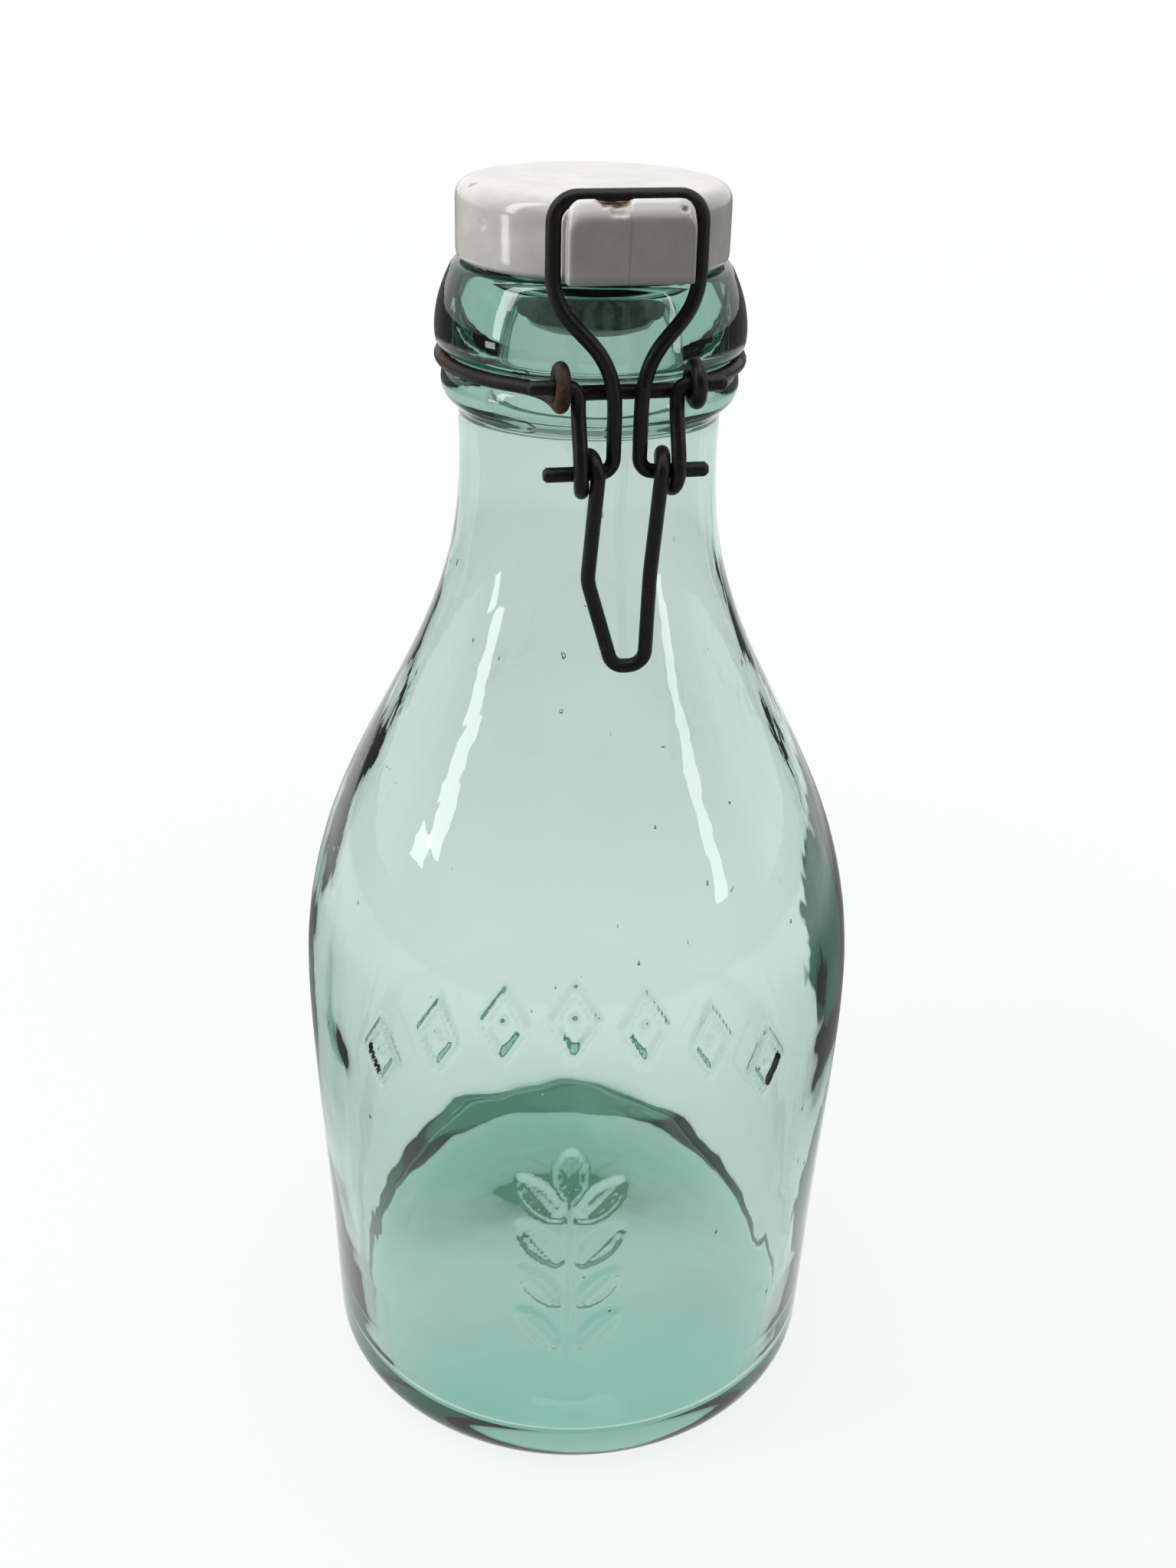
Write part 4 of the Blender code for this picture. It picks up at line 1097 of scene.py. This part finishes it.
stopper = make_stopper_body()
chip_stopper(stopper)
told(stopper)

# %% [markdown]
# ## Glaze
#
# The glaze is an off-white gloss over slightly warmer clay. It is nearly even, so what makes it look
# real is small: a faint mottle, tiny dark specks, a slight ripple in the gloss, a mould line down the
# lug's face, and a brown stain where it has chipped. The lug's ridge also gets a painted highlight,
# and its lower edge painted shade with a little grime.

# %% Glaze finish
SEAM_ASIDE = 1.0 * MM


def make_glaze():
    look, tree, shader, where = finish("white_glaze")
    mottle = cloud(tree, where, 160.0, 4.0, 0.6)
    base = blend(tree, ramp(tree, mottle, 0.35, 0.7), (0.70, 0.675, 0.62), (0.79, 0.775, 0.735))
    parts = axes(tree, where)
    on_lug = ramp(tree, parts["Y"], -LID_R, -LID_R - 3 * MM)
    # painted shade with a little grime: the lug darker brown along its lower edge
    low = ramp(tree, parts["Z"], LUG_LOW_Z + 1.6 * MM, LUG_LOW_Z + 0.2 * MM)
    # painted highlight: the ridge's slope made near white, as light from above would show it
    lit_ridge = ramp(tree, parts["Z"], RIDGE_TOP_Z - RIDGE_FALL, RIDGE_TOP_Z - 1.6 * MM)
    aside = maths(tree, "ABSOLUTE", maths(tree, "ADD", parts["X"], SEAM_ASIDE))
    seam = ramp(tree, aside, 0.30 * MM, 0.05 * MM)
    for share, most, colour in (
        (low, 0.55, (0.42, 0.36, 0.28)), (lit_ridge, 1.0, (0.93, 0.92, 0.88)),
        (seam, 0.35, (0.40, 0.37, 0.32)),
    ):
        base = blend(tree, times(tree, times(tree, share, on_lug), most), base, colour)
    specks = put(tree, "ShaderNodeTexVoronoi", {"Vector": where, "Scale": 330.0})
    speck = ramp(tree, specks["Distance"], 0.055, 0.03)
    rare = ramp(tree, cloud(tree, where, 210.0, 1.0), 0.52, 0.62)
    base = blend(tree, times(tree, speck, rare), base, (0.10, 0.07, 0.045))
    bare = marked(tree, "bare_clay")
    stain = blend(tree, cloud(tree, where, 1400.0, 3.0), (0.20, 0.115, 0.06), (0.50, 0.38, 0.26))
    gloss = ramp(tree, cloud(tree, where, 300.0, 4.0), 0.4, 0.8, 0.09, 0.22)
    ripple = cloud(tree, where, 420.0, 3.0, 0.55)
    into(tree, shader, Base_Color=blend(tree, bare, base, stain), IOR=1.52,
         Roughness=maths(tree, "MULTIPLY_ADD", bare, 0.5, gloss),
         Normal=bumped(tree, ripple, 0.035 * MM, 0.6))
    return look


glaze = make_glaze()
dress(stopper, glaze)
print("glaze:", len(glaze.node_tree.nodes), "nodes")

# %% [markdown]
# ## The rubber ring
#
# Through the lip one sees the rubber as a dark grey oval with an uneven lower edge: it has swollen
# and cracked with age. It is one turned ring, with a profile like the CAD's, and its edge wanders.

# %% Gasket
GASKET_R, GASKET_FLARE_Z, GASKET_ROUND = mm(14.4, 223.2, 0.7)


def make_rubber():
    look, tree, shader, where = finish("perished_rubber")
    patch = cloud(tree, where, 260.0, 4.0, 0.6)
    grain = cloud(tree, where, 1600.0, 3.0, 0.6)
    base = blend(tree, ramp(tree, patch, 0.35, 0.7), (0.085, 0.085, 0.075), (0.20, 0.195, 0.175))
    into(tree, shader, Base_Color=base, Roughness=ramp(tree, grain, 0.3, 0.7, 0.6, 0.85),
         Normal=bumped(tree, maths(tree, "ADD", grain, patch), 0.12 * MM, 0.8))
    return look


def make_gasket():
    low_z, high_z, inner = PLUG_LOW_Z + PLUG_FOOT_H + GAP, LID_LOW_Z - GAP, PLUG_R + GAP
    run, rise = MOUTH_R - BORE_R, LIP_TOP_Z - MOUTH_EDGE - BEVEL_LOW_Z
    back = GAP * math.hypot(run, rise) / rise

    def flare(z):
        return (BORE_R + run * (z - BEVEL_LOW_Z) / rise - back, z)

    line = [(inner, high_z), (inner, low_z), (GASKET_R - GASKET_ROUND, low_z)]
    line += [(GASKET_R, low_z + GASKET_ROUND), (GASKET_R, GASKET_FLARE_Z)]
    line += [flare(BEVEL_LOW_Z + GASKET_ROUND), flare(high_z - GASKET_ROUND)]
    line += [(flare(high_z)[0] - GASKET_ROUND, high_z), (inner, high_z)]
    even = eased(line, 0.35 * MM, 2)[:-1]
    rings = turned(even, around(120))
    low = held(1.0 - (rings[:, :, 2] - low_z) / (4 * MM))
    ragged = 0.55 * MM * waver(rings, 260.0, 6.0) + 0.35 * MM * waver(rings, 700.0, 8.0)
    outer = np.linalg.norm(rings[:, :, :2], axis=2) > inner + 1.0 * MM
    rings[:, :, 2] += np.maximum(ragged, -0.1 * MM) * low
    rings = pushed(rings, -0.18 * MM * (1 + waver(rings, 420.0, 2.0)) * outer)
    return add_piece("rubber_gasket", *skin(rings, looped=True), make_rubber())


gasket = make_gasket()
told(gasket)

# %% [markdown]
# ## Bubbles
#
# Pressed glass holds seeds: small air bubbles, drawn out a little as the glass flowed. Geometry Nodes
# scatters them in the middle of the wall with a fixed seed. Their faces are turned inwards, because
# the glass ends there, and then they are joined with the glass as one mesh.

# %% Bubble tree
BUBBLE_DENSITY, BUBBLE_SIZE, BUBBLE_SEED, BUBBLE_DEPTH = 1000.0, 0.95 * MM, 4, 0.42
FACES_OF_A_BUBBLE = 80


def make_bubble_tree():
    """Small drawn-out balls, facing inwards, are scattered over a surface."""
    tree, given = new_tree("seeds_in_glass", "Wall", (
        ("Density", "Float", BUBBLE_DENSITY), ("Size", "Float", BUBBLE_SIZE),
        ("Seed", "Int", BUBBLE_SEED), ("Finish", "Material", None),
    ), "Bubbles")
    wall = {"Mesh": given["Wall"], "Density": given["Density"], "Seed": given["Seed"]}
    points = put(tree, "GeometryNodeDistributePointsOnFaces", wall)["Points"]
    half = maths(tree, "DIVIDE", given["Size"], 2.0)
    ball = put(tree, "GeometryNodeMeshIcoSphere", {"Radius": half, "Subdivisions": 2})[0]
    inward = put(tree, "GeometryNodeFlipFaces", {"Mesh": ball})[0]
    scale = put(tree, "FunctionNodeRandomValue",
                {0: (0.35, 0.35, 0.5), 1: (0.8, 0.8, 1.6), "Seed": given["Seed"]},
                data_type="FLOAT_VECTOR")[0]
    placed = put(tree, "GeometryNodeInstanceOnPoints",
                 {"Points": points, "Instance": inward, "Scale": scale})[0]
    return ended(tree, placed, given["Finish"], "Bubbles")


# %% Bubbles in the wall


def make_bubbles():
    """The bubbles lie a share of the wall's thickness below the outside, from heel to neck."""
    profile = np.array(outside_line())
    wall = profile[(profile[:, 1] > 20 * MM) & (profile[:, 1] < 200 * MM)]
    line = [(np.interp(z, wall[:, 1], wall[:, 0]) - BUBBLE_DEPTH * WALL_T, z)
            for z in np.arange(30 * MM, 190 * MM, 8 * MM)]
    rings = turned(np.array(line), around(48))
    wall = add_piece("bubble_guide", *skin(rings))
    modified(wall, make_bubble_tree(), Density=BUBBLE_DENSITY, Size=BUBBLE_SIZE, Seed=BUBBLE_SEED,
             Finish=glass)
    return plain_mesh(wall, "bubbles", glass)


def absorb(piece, other):
    """Joins another mesh into a piece, and removes the other."""
    bm = bmesh.new()
    bm.from_mesh(piece.data)
    bm.from_mesh(other.data)
    bm.to_mesh(piece.data)
    bm.free()
    bpy.data.objects.remove(other, do_unlink=True)


bubbles = make_bubbles()
print("bubbles:", faces_of(bubbles) // FACES_OF_A_BUBBLE)
absorb(bottle, bubbles)
bottle.data.shade_smooth()

# %% [markdown]
# ## Floor, backdrop and light
#
# The photograph was taken on white with soft light from both sides. On white, glass has no edge of
# its own: it needs something dark to mirror and to bend. So the room is dark grey on the side that
# the photograph was taken from, and gloss also meets grey rings on the floor. What the camera sees,
# straight on and through the glass, is white paper, with the true shadow near the foot. A tall soft
# panel at each side gives the long reflections, a small one lights the lid's edge, and a large one
# hangs above.

# %% What a ray sees
ROOM_GREY, SKY_LIGHT = (0.055, 0.055, 0.058), 0.66
WHITE, PAPER, TABLE = (1.0, 1.0, 1.0), (0.975, 0.985, 0.985), (0.93, 0.935, 0.935)


def seen_rays(tree):
    """1 for what the camera sees straight on, in gloss or through glass, and 0 for light."""
    path = put(tree, "ShaderNodeLightPath")
    direct = maths(tree, "MAXIMUM", path["Is Camera Ray"], path["Is Glossy Ray"])
    return maths(tree, "MAXIMUM", direct, path["Is Transmission Ray"])


def gloss_rays(tree):
    """1 for what gloss mirrors, and 0 for what one sees through glass."""
    path = put(tree, "ShaderNodeLightPath")
    return maths(tree, "GREATER_THAN", path["Is Glossy Ray"], path["Is Transmission Ray"])


def on_dark_side(tree, where):
    """How far a place or direction lies on the side that the photograph was taken from."""
    side = (math.sin(CAMERA_TURN), -math.cos(CAMERA_TURN), 0.0)
    return put(tree, "ShaderNodeVectorMath", {0: where, 1: side}, operation="DOT_PRODUCT")["Value"]


# %% Floor
FLOOR_R, FLOOR_DROP = 9.0, 0.1 * MM
# where each shade on the floor starts and ends, in metres from the bottle or to its dark side
SHADOW_FADE, PAPER_FADE, DARK_SIDE = (0.06, 0.40), (0.5, 3.0), (0.10, 0.20)
NEAR_RING_IN, NEAR_RING_OUT, FAR_RING = (0.07, 0.14), (0.42, 0.26), (0.70, 0.90)
NEAR_GREY, FAR_GREY, NEAR_PAPER = 0.78, 0.88, 0.88


def make_floor():
    look, tree, shader, where = finish("white_table")
    away = put(tree, "ShaderNodeVectorMath", {0: where}, operation="LENGTH")["Value"]
    lit = maths(tree, "SUBTRACT", 1.0, seen_rays(tree))
    front = times(tree, lit, ramp(tree, on_dark_side(tree, where), *DARK_SIDE))
    near = ramp(tree, away, *NEAR_RING_OUT, 0.0, NEAR_GREY)
    near = times(tree, ramp(tree, away, *NEAR_RING_IN), near)
    rings = maths(tree, "MAXIMUM", near, ramp(tree, away, *FAR_RING, 0.0, FAR_GREY))
    dark = maths(tree, "MAXIMUM", front, times(tree, gloss_rays(tree), rings))
    into(tree, shader, Base_Color=blend(tree, dark, TABLE, ROOM_GREY),
         Roughness=0.9, Specular_IOR_Level=0.1)
    paper = blend(tree, ramp(tree, away, *PAPER_FADE), PAPER, WHITE)
    paper = blend(tree, dark, paper, ROOM_GREY)
    white = put(tree, "ShaderNodeEmission", {"Color": paper})[0]
    share = times(tree, ramp(tree, away, *SHADOW_FADE, NEAR_PAPER, 1.0), seen_rays(tree))
    mixed = put(tree, "ShaderNodeMixShader", {0: share, 1: shader.outputs[0], 2: white})
    give(tree, "Surface", mixed[0])
    edge = [(FLOOR_R * math.cos(a), FLOOR_R * math.sin(a), 0.0) for a in around(64)]
    floor = add_piece("floor", edge, [tuple(range(len(edge)))], look)
    floor.location.z = -FLOOR_DROP
    return floor


floor = make_floor()
print("floor at", round(floor.location.z / MM, 2), "mm")

# %% World
OVERHEAD_FADE, SIDE_FADE = (0.95, 0.60), (-0.35, 0.45)


def make_world():
    world = bpy.data.worlds.new("studio")
    world.use_nodes = True
    tree = world.node_tree
    sky = tree.nodes["Background"]
    feed(tree, sky.inputs["Color"], WHITE)
    where = put(tree, "ShaderNodeTexCoord")["Generated"]
    low = ramp(tree, axes(tree, where)["Z"], *OVERHEAD_FADE)
    room = times(tree, low, ramp(tree, on_dark_side(tree, where), *SIDE_FADE))
    light = ramp(tree, room, 0.0, 1.0, SKY_LIGHT, ROOM_GREY[0])
    gloss = ramp(tree, room, 0.0, 1.0, 1.0, ROOM_GREY[0])
    seen = ramp(tree, gloss_rays(tree), 0.0, 1.0, 1.0, 0.0)
    seen = times(tree, seen, seen_rays(tree))
    strength = put(tree, "ShaderNodeMix", {0: gloss_rays(tree), 2: light, 3: gloss})[0]
    feed(tree, sky.inputs["Strength"], maths(tree, "MAXIMUM", seen, strength))
    return world


bpy.context.scene.world = make_world()
print("world:", len(bpy.context.scene.world.node_tree.nodes), "nodes")

# %% Soft panels of light
# name, turn from the front in degrees, distance, height, width and tallness in metres, brightness
PANELS = (
    ("left_panel", -81.0, 0.34, 0.40, 0.075, 0.47, 7.0),
    ("right_panel", 50.0, 0.34, 0.35, 0.045, 0.44, 6.0),
    ("lid_panel", -86.0, 0.34, 0.182, 0.045, 0.030, 7.0),
    ("top_panel", 0.0, 0.10, 1.10, 0.55, 0.55, 3.0),
)
AIM_Z = 0.14


def add_panel(name, turn_deg, out, height, width, tall, radiance):
    """A soft panel that faces the bottle. Its power follows from the brightness wanted."""
    data = bpy.data.lights.new(name, "AREA")
    data.shape, data.size, data.size_y = "RECTANGLE", width, tall
    data.energy = radiance * width * tall * math.pi
    panel = bpy.data.objects.new(name, data)
    turn = math.radians(turn_deg)
    panel.location = (out * math.sin(turn), -out * math.cos(turn), height)
    aim = Vector((0.0, 0.0, min(height, AIM_Z))) - panel.location
    panel.rotation_euler = aim.to_track_quat("-Z", "Y").to_euler()
    return shown(panel)


panels = {row[0]: add_panel(*row) for row in PANELS}
for name in ("left_panel", "right_panel", "lid_panel"):
    panels[name].visible_transmission = False
panels["right_panel"].visible_diffuse = False
print("panels:", ", ".join(panels))

# %% [markdown]
# ## Which piece moves with what
#
# The glass and the neck wire stay still. The stopper and its rubber tip back on the rear hinge, the
# lever turns in the neck wire's eyes, and the bail turns in the lever's eyes.

# %% Ride and replace
for piece, body, node, slot in (
    (bottle, "base", "bottle", "glass"),
    (neck_ring, "base", "neck_ring", "rusty_wire"),
    (stopper, "stopper_body", "stopper", "glazed_ceramic"),
    (gasket, "stopper_body", "gasket", "rubber"),
    (lever, "lever_body", "lever", "dark_wire"),
    (bail, "bail_body", "bail", "dark_wire"),
):
    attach(piece, body)
    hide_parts(node)
    print(piece.name, "rides on", body)

# %% View settings and the end
bpy.context.scene.view_settings.view_transform = "Standard"
